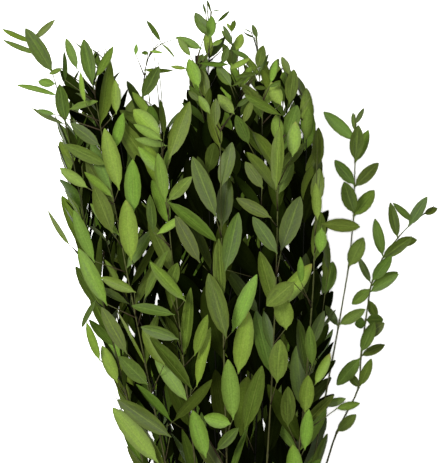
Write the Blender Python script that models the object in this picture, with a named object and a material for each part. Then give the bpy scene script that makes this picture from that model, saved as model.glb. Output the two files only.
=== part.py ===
"""A tied bunch of dried small-leaved eucalyptus, laid on its side on a table.

Thirty-one cut stems stand in rings inside an elastic tie, fan out above it and
carry opposite pairs of narrow leaves. Each leafy stem is one solid: its stem, its
side shoot, its short twigs and its leaves are grown together. The tie is a solid of
its own.

+Y runs from the cut ends to the tips, +Z is up, and +X is to the right of somebody
who looks down on the bunch with the tips away from them. Lengths are in metres.
"""

import math
import random

import bmesh
import bpy
from mathutils import Matrix, Vector
from mathutils.bvhtree import BVHTree

MM = 0.001
RIGHT = Vector((1, 0, 0))
UP = Vector((0, 0, 1))

# Driving dimensions

PIXEL = 0.70 * MM  # one pixel of the photograph, at the bunch
TIE_U, TIE_V = 240, 740  # pixel that the tie's middle would have, below the photograph
CUT_LENGTH = 70 * MM  # bare stem below the tie
BARE_LENGTH = 92 * MM  # bare stem above the tie
RING_COUNTS = (1, 6, 10, 14)  # stems in each ring, from the middle out
STEM_PITCH = 3.8 * MM  # from one ring to the next, inside the tie
STEM_LEVELS = [y * MM for y in (0, 40, 80, 125, 180, 245, 320, 400)]  # of their bends
CUT_SPLAY = 1.15  # how much wider the rings are at the cut ends
STEM_RADIUS = 1.6 * MM  # from the cut end to above the tie
TIP_RADIUS = 0.5 * MM
SHOOT_RADIUS = 0.75 * MM
TWIG_RADIUS = 0.55 * MM  # of the short twig that carries a leaf of the front
SHOOT_LENGTH = 95 * MM  # a side shoot
SHOOT_SHARE = 0.6  # of the stems have one
TIE_HEIGHT = 18.5 * MM  # the stems' middle above the table, at the tie
CUT_HEIGHT = 14.4 * MM  # and at the cut ends
CORE_HEIGHT = 52 * MM  # and in the foliage
HALF_DEPTH = 42 * MM  # from there to the outermost stem's tip
ROOF_SLOPE = 0.5  # of the roof over the stems that bounds the drawn leaves
DRAWN_RISE = 5 * MM  # of their tips above it
FRONT_RISE = (3 * MM, 14 * MM)  # of the leaves of the front above it
FRONT_TIP_RISE = 5 * MM  # from the root of such a leaf to its tip
LEAF_LENGTH = 48 * MM  # a full-grown leaf
LEAF_THICKNESS = 0.9 * MM  # from the flat side to the keel
STALK = 1.1 * MM  # width of a leaf's stalk
LEAF_ANGLES = (12, 42)  # degrees between a leaf and its stem
PAIRS_FROM_TIP = [d * MM for d in (3, 22, 52, 92, 136, 182, 230, 280, 332)]
SHOOT_PAIRS_FROM_TIP = [d * MM for d in (3, 20, 50)]
LEAVES_A_STEM = 13  # after which no more pairs are drawn
TIE_CORD = 2.6 * MM  # width of each of the elastic's two turns
TIE_STEPS = 20
GAP = 0.45 * MM  # kept between leaves and stems of different solids
SEED = 11

# Where each stem's tip shows in the photograph, ring by ring. The places in a ring
# start at the right and turn towards the viewer, then left, and back by the table.

RING_TIPS = (
    ((207, 4),),
    ((270, 74), (240, 84), (196, 62), (178, 38), (158, 60), (254, 25)),
    ((304, 98), (306, 124), (262, 104), (206, 96), (148, 82), (106, 48),
     (84, 38), (150, 20), (232, 14), (288, 60)),
    ((434, 206), (354, 114), (316, 150), (278, 140), (220, 132), (160, 122), (96, 96),
     (30, 34), (72, 180), (64, 94), (98, 60), (196, 70), (284, 84), (314, 122)),
)  # fmt: skip

# Some stems are followed through the photograph: the column and row of the points
# that each of them passes. The first three stand clear of the bunch.

RIGHT_SHOOT, FAR_RIGHT_SHOOT, LEFT_SHOOT = "stem_3_01", "stem_3_00", "stem_3_07"
WAYPOINTS = {
    RIGHT_SHOOT: (
        (268, 625), (303, 520), (323, 407), (338, 325), (348, 266), (353, 215), (354, 162)
    ),
    FAR_RIGHT_SHOOT: (
        (274, 625), (310, 520), (336, 434), (360, 388), (361, 354), (371, 283), (383, 256), (406, 228)
    ),
    LEFT_SHOOT: ((198, 620), (144, 470), (92, 260), (67, 130), (53, 73)),
    "stem_0_00": ((210, 200), (207, 90), (210, 40)),
    "stem_1_03": ((150, 200), (143, 100), (144, 71), (150, 52), (161, 43)),
    "stem_1_05": ((256, 180), (260, 78), (257, 40)),
}  # fmt: skip

# The leaves of the shoots that stand clear. Five numbers describe each: the row of its
# root on the stem, the column and row of its tip, its width in pixels, and the tip's
# rise in mm.

SHOOT_LEAVES = {
    RIGHT_SHOOT: (
        (125, 363, 109, 6, 2), (132, 352, 113, 6, -2), (141, 323, 113, 14, 4),
        (161, 357, 127, 15, 8), (163, 368, 130, 12, -6), (185, 334, 161, 13, 5),
        (187, 378, 163, 13, -4), (213, 343, 183, 16, 7), (216, 374, 190, 15, -6),
        (266, 362, 238, 16, 6), (326, 325, 305, 9, -5), (324, 364, 309, 12, 4),
        (405, 345, 398, 9, 3),
    ),
    FAR_RIGHT_SHOOT: (
        (214, 438, 208, 8, -3), (226, 427, 197, 12, 4), (222, 393, 203, 8, 5),
        (238, 390, 203, 11, 6), (243, 418, 240, 11, -6), (256, 375, 219, 12, 4),
        (258, 411, 237, 13, 9), (283, 359, 257, 8, -4), (281, 391, 256, 13, 7),
        (286, 399, 272, 11, -7), (289, 352, 304, 12, 5), (320, 384, 320, 13, -5),
        (322, 355, 324, 12, 6), (352, 374, 322, 13, 8), (356, 386, 345, 10, -6),
        (358, 337, 386, 15, -4), (386, 371, 359, 11, 7), (388, 349, 374, 9, -6),
        (432, 356, 415, 12, 5),
    ),
    LEFT_SHOOT: (
        (40, 55, 20, 8, 3), (42, 1, 30, 6, -2), (54, 1, 41, 6, -5),
        (72, 26, 29, 17, 8), (84, 37, 81, 10, -6), (96, 17, 83, 6, 3),
        (122, 60, 85, 15, 9), (124, 30, 109, 6, -4),
    ),
}  # fmt: skip

# Leaves that show well on the front of the bunch: the column and row of the root and
# of the tip, and the width in pixels. A short twig of a stem close by carries each.

FRONT_LEAVES = (
    (134, 213, 134, 161, 18), (132, 260, 127, 201, 20), (113, 233, 95, 187, 18),
    (88, 188, 60, 168, 12), (95, 262, 73, 211, 13), (107, 305, 77, 249, 16),
    (136, 292, 101, 277, 12), (166, 202, 159, 155, 14), (169, 201, 192, 178, 13),
    (154, 233, 151, 196, 11), (158, 234, 183, 217, 9), (168, 202, 217, 239, 14),
    (216, 217, 193, 158, 18), (145, 299, 166, 250, 10), (168, 290, 178, 263, 14),
    (222, 300, 217, 239, 14), (226, 336, 209, 273, 20), (225, 270, 238, 213, 18),
    (232, 331, 255, 274, 16), (238, 372, 248, 311, 20), (280, 250, 299, 197, 20),
    (276, 253, 252, 217, 15), (270, 218, 236, 199, 13), (293, 281, 266, 304, 20),
    (285, 328, 281, 294, 20), (233, 417, 228, 358, 19), (206, 456, 193, 409, 18),
    (244, 428, 262, 365, 18), (192, 388, 152, 335, 14), (165, 365, 143, 328, 16),
    (179, 338, 141, 326, 13), (175, 314, 132, 304, 11), (148, 384, 120, 356, 17),
    (174, 420, 213, 380, 12), (171, 436, 117, 399, 18), (158, 463, 112, 408, 20),
    (117, 383, 102, 346, 14), (127, 353, 102, 307, 15), (195, 354, 207, 314, 12),
    (197, 385, 208, 326, 11), (231, 422, 204, 415, 16), (217, 448, 238, 426, 12),
    (276, 380, 279, 338, 20), (287, 424, 287, 385, 16), (304, 411, 307, 374, 16),
    (304, 448, 308, 408, 14), (295, 480, 292, 443, 17), (311, 364, 308, 325, 12),
    (314, 383, 329, 352, 11), (262, 189, 245, 163, 13), (316, 220, 314, 184, 11),
    (320, 224, 359, 227, 14), (320, 228, 318, 252, 13), (291, 158, 294, 124, 15),
    (285, 140, 296, 107, 16), (248, 145, 236, 118, 13), (275, 190, 277, 129, 14),
    (101, 126, 113, 61, 14), (120, 190, 106, 130, 18), (101, 147, 72, 124, 13),
    (94, 86, 84, 39, 15), (97, 79, 115, 48, 9), (115, 150, 124, 115, 12),
    (143, 100, 160, 68, 14), (170, 160, 190, 104, 18), (165, 137, 162, 101, 8),
    (163, 142, 135, 126, 10), (199, 89, 189, 60, 14), (208, 37, 195, 13, 12),
    (210, 40, 212, 17, 11), (236, 52, 242, 35, 10), (257, 70, 263, 47, 11),
    (288, 106, 293, 71, 14), (280, 107, 270, 84, 14), (280, 117, 243, 98, 9),
    (243, 125, 252, 102, 9), (215, 130, 216, 101, 11), (234, 116, 218, 97, 12),
    (232, 331, 300, 283, 14), (200, 262, 176, 216, 15), (186, 300, 150, 262, 13),
    (100, 361, 86, 323, 10), (70, 246, 46, 211, 7), (96, 300, 80, 328, 7),
    (171, 420, 138, 382, 9), (300, 283, 299, 257, 8), (335, 407, 359, 402, 9),
)  # fmt: skip

# The bunch's outline without those shoots: a row of the photograph, and the columns of
# its left and right edge. The last two rows are below the photograph.

OUTLINE = (
    (0, 120, 262), (40, 56, 282), (100, 52, 312), (160, 54, 324), (240, 66, 332),
    (320, 88, 336), (400, 112, 334), (460, 128, 322), (600, 184, 294), (740, 215, 264),
)  # fmt: skip

# The crown's skyline: a column of the photograph, and the row above which no drawn leaf
# rises.

SKYLINE = (
    (40, 38), (112, 42), (122, 76), (146, 100), (170, 108), (187, 98),
    (192, 18), (236, 18), (246, 58), (298, 58), (312, 112), (336, 150),
)  # fmt: skip

# Six stems have a leaf that lies flat on the table and carries the bunch: how far above
# the tie it grows, and the way it points, in degrees to the left of the stem.

FLOOR_LEAVES = {
    "stem_3_08": (230 * MM, -8),
    "stem_3_09": (310 * MM, -15),
    "stem_3_10": (190 * MM, 12),
    "stem_3_11": (330 * MM, 20),
    "stem_3_12": (262 * MM, -20),
    "stem_3_13": (200 * MM, 5),
}


def from_photo(u, v, z=0.0):
    """The point at height z that shows at this pixel of the photograph."""
    return Vector(((u - TIE_U) * PIXEL, (TIE_V - v) * PIXEL, z))


def between(table, place):
    """Reads a table of rows between two of them: what stands beside this place."""
    for (start, *here), (end, *there) in zip(table, table[1:]):
        if place <= end:
            share = max(0.0, (place - start) / (end - start))
            return [a + (b - a) * share for a, b in zip(here, there)]
    return table[-1][1:]


def in_outline(point):
    """Whether the point shows within the bunch's outline."""
    u, v = point.x / PIXEL + TIE_U, TIE_V - point.y / PIXEL
    left, right = between(OUTLINE, v)
    return left < u < right and v > between(SKYLINE, u)[0]


def ramp(t):
    """Rises smoothly from 0 to 1 as t does."""
    t = min(1.0, max(0.0, t))
    return t * t * (3 - 2 * t)


def bounds(points):
    low = Vector([min(p[i] for p in points) for i in range(3)])
    high = Vector([max(p[i] for p in points) for i in range(3)])
    return low, high


# Routes of the stems


def smooth_line(knots, levels):
    """The points at these y on a curve through all the knots, by the Catmull-Rom rule."""
    ends = [2 * knots[0] - knots[1], *knots, 2 * knots[-1] - knots[-2]]
    fine = [knots[0].copy()]
    for a, b, c, d in zip(ends, ends[1:], ends[2:], ends[3:]):
        for i in range(1, 9):
            t = i / 8
            bent = (2 * a - 5 * b + 4 * c - d) * t**2 + (3 * b - a - 3 * c + d) * t**3
            fine.append(0.5 * (2 * b + (c - a) * t + bent))
    whole = Shoot("", fine, 0.0, 0.0)
    return [whole.at(whole.distance_at_y(y))[0] for y in levels]


class Shoot:
    """A stem or side shoot of one solid: the line of its middle, and its thickness."""

    def __init__(self, solid, line, root_radius, tip_radius, tip_leaf=0.0):
        self.solid, self.line, self.tip_leaf = solid, line, tip_leaf
        self.root_radius, self.tip_radius = root_radius, tip_radius
        self.length = sum((b - a).length for a, b in zip(line, line[1:]))

    def at(self, distance):
        """The point this far from the root, and the direction there."""
        left = distance
        for a, b in zip(self.line, self.line[1:]):
            step = (b - a).length
            if left <= step:
                return a.lerp(b, left / step), (b - a).normalized()
            left -= step
        return self.line[-1].copy(), (self.line[-1] - self.line[-2]).normalized()

    def distance_at_y(self, y):
        """How far from the root the shoot passes this y."""
        gone = 0.0
        for a, b in zip(self.line, self.line[1:]):
            if b.y >= y:
                return gone + (b - a).length * max(0.0, (y - a.y) / (b.y - a.y))
            gone += (b - a).length
        return gone

    def radius_at(self, distance):
        tapered = distance / self.length
        return self.root_radius + (self.tip_radius - self.root_radius) * tapered


class Stem(Shoot):
    """A stem, by its ring and place in the tie."""

    def __init__(self, ring, place):
        self.name = f"stem_{ring}_{place:02d}"
        turn = math.tau * place / RING_COUNTS[ring]
        outermost = len(RING_COUNTS) - 1
        in_tie = ring * STEM_PITCH * Vector((math.cos(turn), 0, math.sin(turn)))
        self.cut = Vector((0, -CUT_LENGTH, CUT_HEIGHT)) + in_tie * CUT_SPLAY
        self.tied = Vector((0, 0, TIE_HEIGHT)) + in_tie
        height = CORE_HEIGHT + HALF_DEPTH * ring / outermost * math.sin(turn)
        self.tip = from_photo(*RING_TIPS[ring][place], height)
        line = smooth_line(self.knots(), self.levels())
        lowness = ramp((RING_TIPS[ring][place][1] - 30) / 120)
        super().__init__(self.name, line, STEM_RADIUS, TIP_RADIUS, (13 + 17 * lowness) * MM)

    def knots(self):
        """The points that the stem passes, from its cut end to its tip."""
        passed = [self.fanned(share) for share in (0.1, 0.2, 0.34, 0.55, 0.78)]
        followed = [from_photo(u, v) for u, v in WAYPOINTS.get(self.name, ())]
        for point in followed:
            point.z = self.fanned(point.y / self.tip.y).z
        if followed:
            passed = [point for point in passed if point.y < followed[0].y - 50 * MM]
        return [self.cut, self.tied, *passed, *followed, self.tip]

    def levels(self):
        """The y of the points between which the stem is straight. They are the same for
        neighbours, which keeps their distance."""
        followed = [from_photo(u, v).y for u, v in WAYPOINTS.get(self.name, ())]
        top = followed[0] if followed else self.tip.y
        shared = [y for y in STEM_LEVELS if y < top - 25 * MM]
        return [-CUT_LENGTH, *shared, *followed, self.tip.y]

    def fanned(self, share):
        """The point at this share of the height: stems to the left fan out straight,
        and those to the right bow outwards."""
        rightness = ramp(0.5 + self.tip.x / (150 * MM))
        spread = (1 - (1 - share) ** (1.1 + 0.9 * rightness)) * ramp(share / 0.3)
        point = self.tied.lerp(self.tip, spread)
        point.y = self.tip.y * share
        return point

    def radius_at(self, distance):
        tapered = max(0.0, (distance - CUT_LENGTH) / (self.length - CUT_LENGTH))
        return STEM_RADIUS + (TIP_RADIUS - STEM_RADIUS) * tapered


def tube_mesh(shoot, sides):
    """The shoot as a tapered tube, closed at both ends."""
    curve = bpy.data.curves.new("tube", "CURVE")
    curve.dimensions = "3D"
    curve.bevel_depth = 1.0
    curve.bevel_resolution = (sides - 4) // 2
    curve.use_fill_caps = True
    spline = curve.splines.new("POLY")
    spline.points.add(len(shoot.line) - 1)
    gone = 0.0
    for i, (target, point) in enumerate(zip(spline.points, shoot.line)):
        if i:
            gone += (point - shoot.line[i - 1]).length
        target.co = (*point, 1.0)
        target.radius = shoot.radius_at(gone)
    holder = bpy.data.objects.new("tube", curve)
    bpy.context.scene.collection.objects.link(holder)
    depsgraph = bpy.context.evaluated_depsgraph_get()
    made = bpy.data.meshes.new_from_object(holder.evaluated_get(depsgraph))
    mesh = bmesh.new()
    mesh.from_mesh(made)
    bmesh.ops.remove_doubles(mesh, verts=mesh.verts, dist=0.01 * MM)
    bpy.data.objects.remove(holder)
    bpy.data.curves.remove(curve)
    bpy.data.meshes.remove(made)
    return mesh


# Leaves


class Leaf:
    """A blade that leaves its stem at root along heading, with its flat side towards
    facing, and bends away from that side by curl, in radians from root to tip."""

    LOWEST = 0.0  # where its envelope may end

    def __init__(self, root, heading, facing, length, width, curl):
        self.root, self.length, self.width, self.curl = root, length, width, curl
        self.heading = heading.normalized()
        self.facing = (facing - facing.dot(self.heading) * self.heading).normalized()
        self.side = self.heading.cross(self.facing)

    def frame_at(self, t):
        """The point of the midrib at share t of the length, and the flat side's normal."""
        bend = self.curl * t
        if abs(self.curl) < 0.001:
            return self.root + self.heading * self.length * t, self.facing
        sideways = math.sin(bend) * self.heading - (1 - math.cos(bend)) * self.facing
        point = self.root + self.length / self.curl * sideways
        return point, math.cos(bend) * self.facing + math.sin(bend) * self.heading

    def half_width(self, t):
        """A narrow stalk, then a long ellipse that is widest just before its middle."""
        blade = min(1.0, max(0.0, (t - 0.05) / 0.95))
        return max(STALK / 2, self.width / 2 * blade**0.62 * (1 - blade) ** 0.68 / 0.407)


class FloorLeaf(Leaf):
    """A leaf that sinks to the table and lies flat on it, with its flat side down."""

    LANDS = 0.45  # share of the length at which it lies flat
    LOWEST = -1.1 * GAP

    def frame_at(self, t):
        sunk = ramp(t / self.LANDS)
        point = self.root + self.heading * self.length * t
        point.z = self.root.z + (LEAF_THICKNESS / 2 - self.root.z) * sunk
        return point, -UP


def drawn_out(leaf, sides, stations, start, grow):
    """A sphere of a few sides drawn out along the leaf: its poles are at start and
    at the tip, and its rings at the stations. It can grow on all sides."""
    rings = (start, *stations, 1 + grow / leaf.length)
    mesh = bmesh.new()
    bmesh.ops.create_uvsphere(mesh, u_segments=sides, v_segments=len(rings) - 1, radius=1)
    for vert in mesh.verts:
        polar = math.acos(max(-1.0, min(1.0, vert.co.z))) / math.pi
        t = rings[round(polar * (len(rings) - 1))]
        point, normal = leaf.frame_at(t)
        if vert.co.xy.length > 0.01:
            corner = vert.co.xy.normalized()
            sideways, upwards = section_corner(corner, sides)
            point = point + leaf.side * sideways * (leaf.half_width(t) + grow)
            point = point + normal * upwards * (LEAF_THICKNESS / 2 + grow)
        vert.co = point
    bmesh.ops.recalc_face_normals(mesh, faces=mesh.faces)
    return mesh


def section_corner(corner, sides):
    """Where a corner of the leaf's cross-section lies: across and along its normal."""
    if sides == 3:
        return (0.0, -1.0) if abs(corner.y) < 0.5 else (math.copysign(1, corner.y), 1.0)
    turn = math.atan2(corner.y, corner.x) + math.pi / 4
    return math.copysign(1, math.cos(turn)), math.copysign(1, math.sin(turn))


def blade_mesh(leaf, start=0.0):
    """The leaf's solid: two edges on the flat side, and a keel behind."""
    stations = (0.16, 0.47, 0.82) if leaf.length > 26 * MM else (0.28, 0.76)
    kept = [t for t in stations if t > start]
    return drawn_out(leaf, 3, kept, start, 0.0)


def envelope_mesh(leaf, start=0.0):
    """A box-like hull round the leaf, with the gap that others must keep."""
    kept = [t for t in (0.16, 0.47, 0.82) if t > start]
    return drawn_out(leaf, 4, kept, start, GAP)


# Keeping clear of one another

BLADE_START = 0.12  # the part of a leaf beyond this share has left its stem


class Member:
    """A stem or leaf that is in place, with trees to test others against."""

    def __init__(self, solid, whole, blade=None):
        self.solid = solid
        low, high = bounds([v.co for v in whole.verts])
        self.lowest = low.z
        self.centre, self.reach = (low + high) / 2, (high - low).length / 2
        self.whole = BVHTree.FromBMesh(whole)
        self.blade = BVHTree.FromBMesh(blade) if blade else None

    def crosses(self, other):
        if (self.centre - other.centre).length > self.reach + other.reach:
            return False
        if self.solid != other.solid:
            return bool(self.whole.overlap(other.whole))
        if other.blade is None:
            return bool(self.blade.overlap(other.whole))
        return bool(self.whole.overlap(other.blade) or self.blade.overlap(other.whole))


class Crowd:
    """All that is in place so far."""

    ROW = 30 * MM  # members are kept in rows of this depth, so that a test reads only a few

    def __init__(self):
        self.rows = {}

    def rows_of(self, member):
        low, high = member.centre.y - member.reach, member.centre.y + member.reach
        return range(math.floor(low / self.ROW), math.floor(high / self.ROW) + 1)

    def add(self, member):
        for row in self.rows_of(member):
            self.rows.setdefault(row, []).append(member)

    def near(self, tried):
        return {member for row in self.rows_of(tried) for member in self.rows.get(row, ())}

    def add_shoot(self, shoot, mesh):
        self.add(Member(shoot.solid, mesh))

    def add_leaf(self, solid, leaf):
        self.add(Member(solid, blade_mesh(leaf), blade_mesh(leaf, BLADE_START)))

    def has_room_for_shoot(self, shoot, mesh):
        tried = Member(shoot.solid, mesh)
        if tried.lowest < SHOOT_RADIUS:
            return False
        return not any(
            tried.solid != member.solid and tried.crosses(member) for member in self.near(tried)
        )

    def has_room_for_twig(self, twig, mesh):
        """Like a shoot, but it keeps clear of its own stem's leaves too."""
        tried = Member(twig.solid, mesh)
        own = [member for member in self.near(tried) if member.solid == twig.solid and member.blade]
        pierced = any(tried.whole.overlap(member.blade) for member in own)
        return not pierced and self.has_room_for_shoot(twig, mesh)

    def has_room_for(self, solid, leaf):
        tried = Member(solid, envelope_mesh(leaf), envelope_mesh(leaf, BLADE_START))
        if tried.lowest < leaf.LOWEST:
            return False
        return not any(tried.crosses(member) for member in self.near(tried))


# Placing the leaves


def along_the_front(heading, point, normal):
    """Square to the heading, and away from the bunch's middle or towards it, whichever
    is nearer to this normal: a leaf that faces this way lies along the bunch's outside."""
    outwards = Vector((point.x * 0.35, 0, point.z - CORE_HEIGHT * 0.6))
    outwards = (outwards - outwards.dot(heading) * heading).normalized()
    return outwards if normal.dot(outwards) > 0 else -outwards


def drawn_leaf(shoot, distance, azimuth, draw, squeeze):
    """A leaf of the general kind, drawn at random about its habit."""
    axis, along = shoot.at(distance)
    grown = ramp(0.05 + (shoot.length - distance) / (155 * MM))
    length = shoot.tip_leaf + (LEAF_LENGTH - shoot.tip_leaf) * grown
    length *= draw.uniform(0.86, 1.12) * squeeze
    width = length * (0.38 - 0.1 * grown) * draw.uniform(0.88, 1.12)
    right = (RIGHT - along.x * along).normalized()
    front = right.cross(along)
    turned = azimuth + math.radians(draw.gauss(0, 14))
    away = math.cos(turned) * right + math.sin(turned) * front
    angle = math.radians(draw.uniform(*LEAF_ANGLES))
    heading = math.cos(angle) * along + math.sin(angle) * away
    inner_side = math.sin(angle) * along - math.cos(angle) * away
    turned_out = along_the_front(heading, axis, inner_side)
    facing = inner_side.lerp(turned_out, draw.uniform(0.25, 0.95))
    root = axis + away * shoot.radius_at(distance) * 0.3
    return Leaf(root, heading, facing, length, width, draw.uniform(-0.15, 0.5))


def grow_pair(stems, shoot, distance, azimuth, crowd, draw, tries=22):
    """Two opposite leaves, each drawn again until it crosses nothing."""
    grown = []
    for half_turn in (0.0, math.pi):
        for attempt in range(tries):
            squeeze = 1 - 0.025 * max(0, attempt - 8)
            leaf = drawn_leaf(shoot, distance, azimuth + half_turn, draw, squeeze)
            tip, _ = leaf.frame_at(1.0)
            if within(stems, tip) and crowd.has_room_for(shoot.solid, leaf):
                crowd.add_leaf(shoot.solid, leaf)
                grown.append(leaf)
                break
    return grown


def measured_leaf(root, tip, shown, roll_side):
    """A leaf from root to tip. One that shows narrower than it is has turned its edge
    to the viewer."""
    reach = tip - root
    width = max(shown * PIXEL, 0.27 * reach.length)
    roll = math.copysign(math.acos(shown * PIXEL / width), roll_side)
    facing = Matrix.Rotation(roll, 3, reach) @ UP
    return Leaf(root, reach, facing, reach.length, width, 0.12)


def followed_leaf(stem, root_v, tip_u, tip_v, shown, rise):
    """A leaf that grows from the stem in this row of the photograph."""
    distance = stem.distance_at_y(from_photo(0, root_v).y)
    axis, along = stem.at(distance)
    tip = from_photo(tip_u, tip_v, axis.z + rise * MM)
    away = tip - axis
    away = (away - away.dot(along) * along).normalized()
    return measured_leaf(axis + away * stem.radius_at(distance) * 0.3, tip, shown, rise)


def roof(stems, point):
    """How high the stems reach here, as a roof that slopes away from each of them."""
    heights = []
    for stem in stems:
        axis, _ = stem.at(stem.distance_at_y(point.y))
        away = (axis.xy - point.xy).length
        heights.append(axis.z - ROOF_SLOPE * away)
    return max(heights)


def within(stems, point):
    """Whether a drawn leaf or side shoot may end here."""
    return in_outline(point) and point.z < roof(stems, point) + DRAWN_RISE


def side_shoot(stem, from_tip, draw):
    """A thin shoot that leaves the stem and turns along with it."""
    distance = stem.length - from_tip
    axis, along = stem.at(distance)
    right = (RIGHT - along.x * along).normalized()
    turn = draw.uniform(0, math.tau)
    away = math.cos(turn) * right + math.sin(turn) * right.cross(along)
    length = SHOOT_LENGTH * draw.uniform(0.85, 1.15)
    root = axis + away * stem.radius_at(distance) * 0.2
    line = [
        root + length * (share * along + 0.42 * (1 - (1 - share) ** 2) * away)
        for share in (0.0, 0.3, 0.65, 1.0)
    ]
    return Shoot(stem.name, line, SHOOT_RADIUS, TIP_RADIUS, stem.tip_leaf)


def floor_leaf(stem, height, to_the_left):
    distance = stem.distance_at_y(height)
    axis, along = stem.at(distance)
    level = Vector((along.x, along.y, 0)).normalized()
    heading = Matrix.Rotation(math.radians(to_the_left), 3, "Z") @ level
    away = (heading - heading.dot(along) * along).normalized()
    root = axis + away * stem.radius_at(distance) * 0.3
    return FloorLeaf(root, heading, -UP, LEAF_LENGTH, LEAF_LENGTH * 0.31, 0.0)


def grow_floor_leaf(stem, crowd, draw, tries=40):
    """The stem's leaf that lies on the table, turned until it crosses nothing."""
    height, to_the_left = FLOOR_LEAVES[stem.name]
    for attempt in range(tries):
        turned = draw.uniform(-1, 1) * attempt
        leaf = floor_leaf(stem, height, to_the_left + turned)
        if crowd.has_room_for(stem.name, leaf):
            crowd.add_leaf(stem.name, leaf)
            return leaf
    raise ValueError(f"{stem.name} has no room for its leaf on the table")


def leaf_twig(stem, leaf, climb):
    """A short straight twig from the stem to the root of the leaf."""
    foot, _ = stem.at(stem.distance_at_y(leaf.root.y - climb))
    end = leaf.root + 0.8 * MM * leaf.heading
    return Shoot(stem.name, [foot, end], TWIG_RADIUS, TWIG_RADIUS)


def grow_front_leaf(stems, place, crowd, draw, tries=24):
    """A leaf of the front on a twig of a stem close by, if there is room for both."""
    root_u, root_v, tip_u, tip_v, shown = place
    root, tip = from_photo(root_u, root_v), from_photo(tip_u, tip_v)
    root.z, tip.z = roof(stems, root), roof(stems, tip)

    def farness(stem):
        point, _ = stem.at(stem.distance_at_y(root.y - 12 * MM))
        return (point - root).length

    hosts = sorted((stem for stem in stems if stem.name not in SHOOT_LEAVES), key=farness)
    for attempt in range(tries):
        rise = draw.uniform(*FRONT_RISE) * UP
        leaf = measured_leaf(root + rise, tip + rise + FRONT_TIP_RISE * UP, shown, draw.uniform(-1, 1))
        twig = leaf_twig(hosts[attempt // 4 % 4], leaf, draw.uniform(6, 20) * MM)
        if crowd.has_room_for(twig.solid, leaf) and crowd.has_room_for_twig(twig, tube_mesh(twig, 4)):
            crowd.add_leaf(twig.solid, leaf)
            crowd.add_shoot(twig, tube_mesh(twig, 4))
            return leaf, twig
    return None


def plan_foliage(stems):
    """The side shoots, twigs and leaves, by the stem's name."""
    draw = random.Random(SEED)
    crowd = Crowd()
    leaves = {stem.name: [] for stem in stems}
    shoots = {stem.name: [] for stem in stems}
    for stem in stems:
        crowd.add_shoot(stem, tube_mesh(stem, 4))
    for stem in stems:
        for place in SHOOT_LEAVES.get(stem.name, ()):
            leaf = followed_leaf(stem, *place)
            crowd.add_leaf(stem.name, leaf)
            leaves[stem.name].append(leaf)
        if stem.name in FLOOR_LEAVES:
            leaves[stem.name].append(grow_floor_leaf(stem, crowd, draw))
    for place in FRONT_LEAVES:
        grown = grow_front_leaf(stems, place, crowd, draw)
        if grown:
            leaf, twig = grown
            leaves[twig.solid].append(leaf)
            shoots[twig.solid].append(twig)
    phases = {stem.name: draw.uniform(0, math.pi) for stem in stems}
    for stem in stems:
        if stem.name in WAYPOINTS or draw.random() > SHOOT_SHARE:
            continue
        shoot = grow_shoot(stems, stem, crowd, draw)
        if shoot:
            shoots[stem.name].append(shoot)
            crowd.add_shoot(shoot, tube_mesh(shoot, 4))
            for number, from_tip in enumerate(SHOOT_PAIRS_FROM_TIP):
                distance, azimuth = shoot.length - from_tip, number * math.pi / 2
                leaves[stem.name] += grow_pair(stems, shoot, distance, azimuth, crowd, draw)
    for number, from_tip in enumerate(PAIRS_FROM_TIP):
        for stem in stems:
            distance = stem.length - from_tip * draw.uniform(0.9, 1.1)
            low_enough = distance < lowest_set_leaf(stem)
            leafy = stem.at(distance)[0].y > BARE_LENGTH
            if leafy and low_enough and len(leaves[stem.name]) < LEAVES_A_STEM:
                azimuth = phases[stem.name] + number * math.pi / 2
                leaves[stem.name] += grow_pair(stems, stem, distance, azimuth, crowd, draw)
    return shoots, leaves


def grow_shoot(stems, stem, crowd, draw, tries=20):
    """A side shoot that crosses nothing, if there is room for one."""
    for _ in range(tries):
        shoot = side_shoot(stem, draw.uniform(0.11, 0.24), draw)
        inside = within(stems, shoot.line[-1])
        if inside and crowd.has_room_for_shoot(shoot, tube_mesh(shoot, 4)):
            return shoot
    return None


def lowest_set_leaf(stem):
    """How far along the stem its drawn leaves end and those of the photograph begin."""
    rows = [place[0] for place in SHOOT_LEAVES.get(stem.name, ())]
    return stem.distance_at_y(from_photo(0, max(rows) + 25).y) if rows else stem.length


# Objects


def plain_material(name, colour, roughness):
    material = bpy.data.materials.new(name)
    material.use_nodes = True
    shader = material.node_tree.nodes["Principled BSDF"]
    shader.inputs["Base Color"].default_value = (*colour, 1.0)
    shader.inputs["Roughness"].default_value = roughness
    return material


def solid_object(name, mesh, material, collection, smooth=False):
    for face in mesh.faces:
        face.smooth = smooth
    data = bpy.data.meshes.new(name)
    mesh.to_mesh(data)
    mesh.free()
    data.materials.append(material)
    made = bpy.data.objects.new(name, data)
    collection.objects.link(made)
    return made


def grow_together(body, growth, material):
    """One Boolean union of the stem with all that grows on it."""
    group = bpy.data.collections.new(body.name + "_growth")
    bpy.context.scene.collection.children.link(group)
    for number, mesh in enumerate(growth):
        solid_object(f"{body.name}_growth_{number}", mesh, material, group)
    modifier = body.modifiers.new("grown together", "BOOLEAN")
    modifier.operation = "UNION"
    modifier.operand_type = "COLLECTION"
    modifier.collection = group
    modifier.solver = "EXACT"
    depsgraph = bpy.context.evaluated_depsgraph_get()
    joined = bpy.data.meshes.new_from_object(body.evaluated_get(depsgraph))
    body.modifiers.clear()
    loose = body.data
    body.data = joined
    bpy.data.meshes.remove(loose)
    joined.name = body.name
    for extra in list(group.objects):
        bpy.data.objects.remove(extra)
    bpy.data.collections.remove(group)


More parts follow.
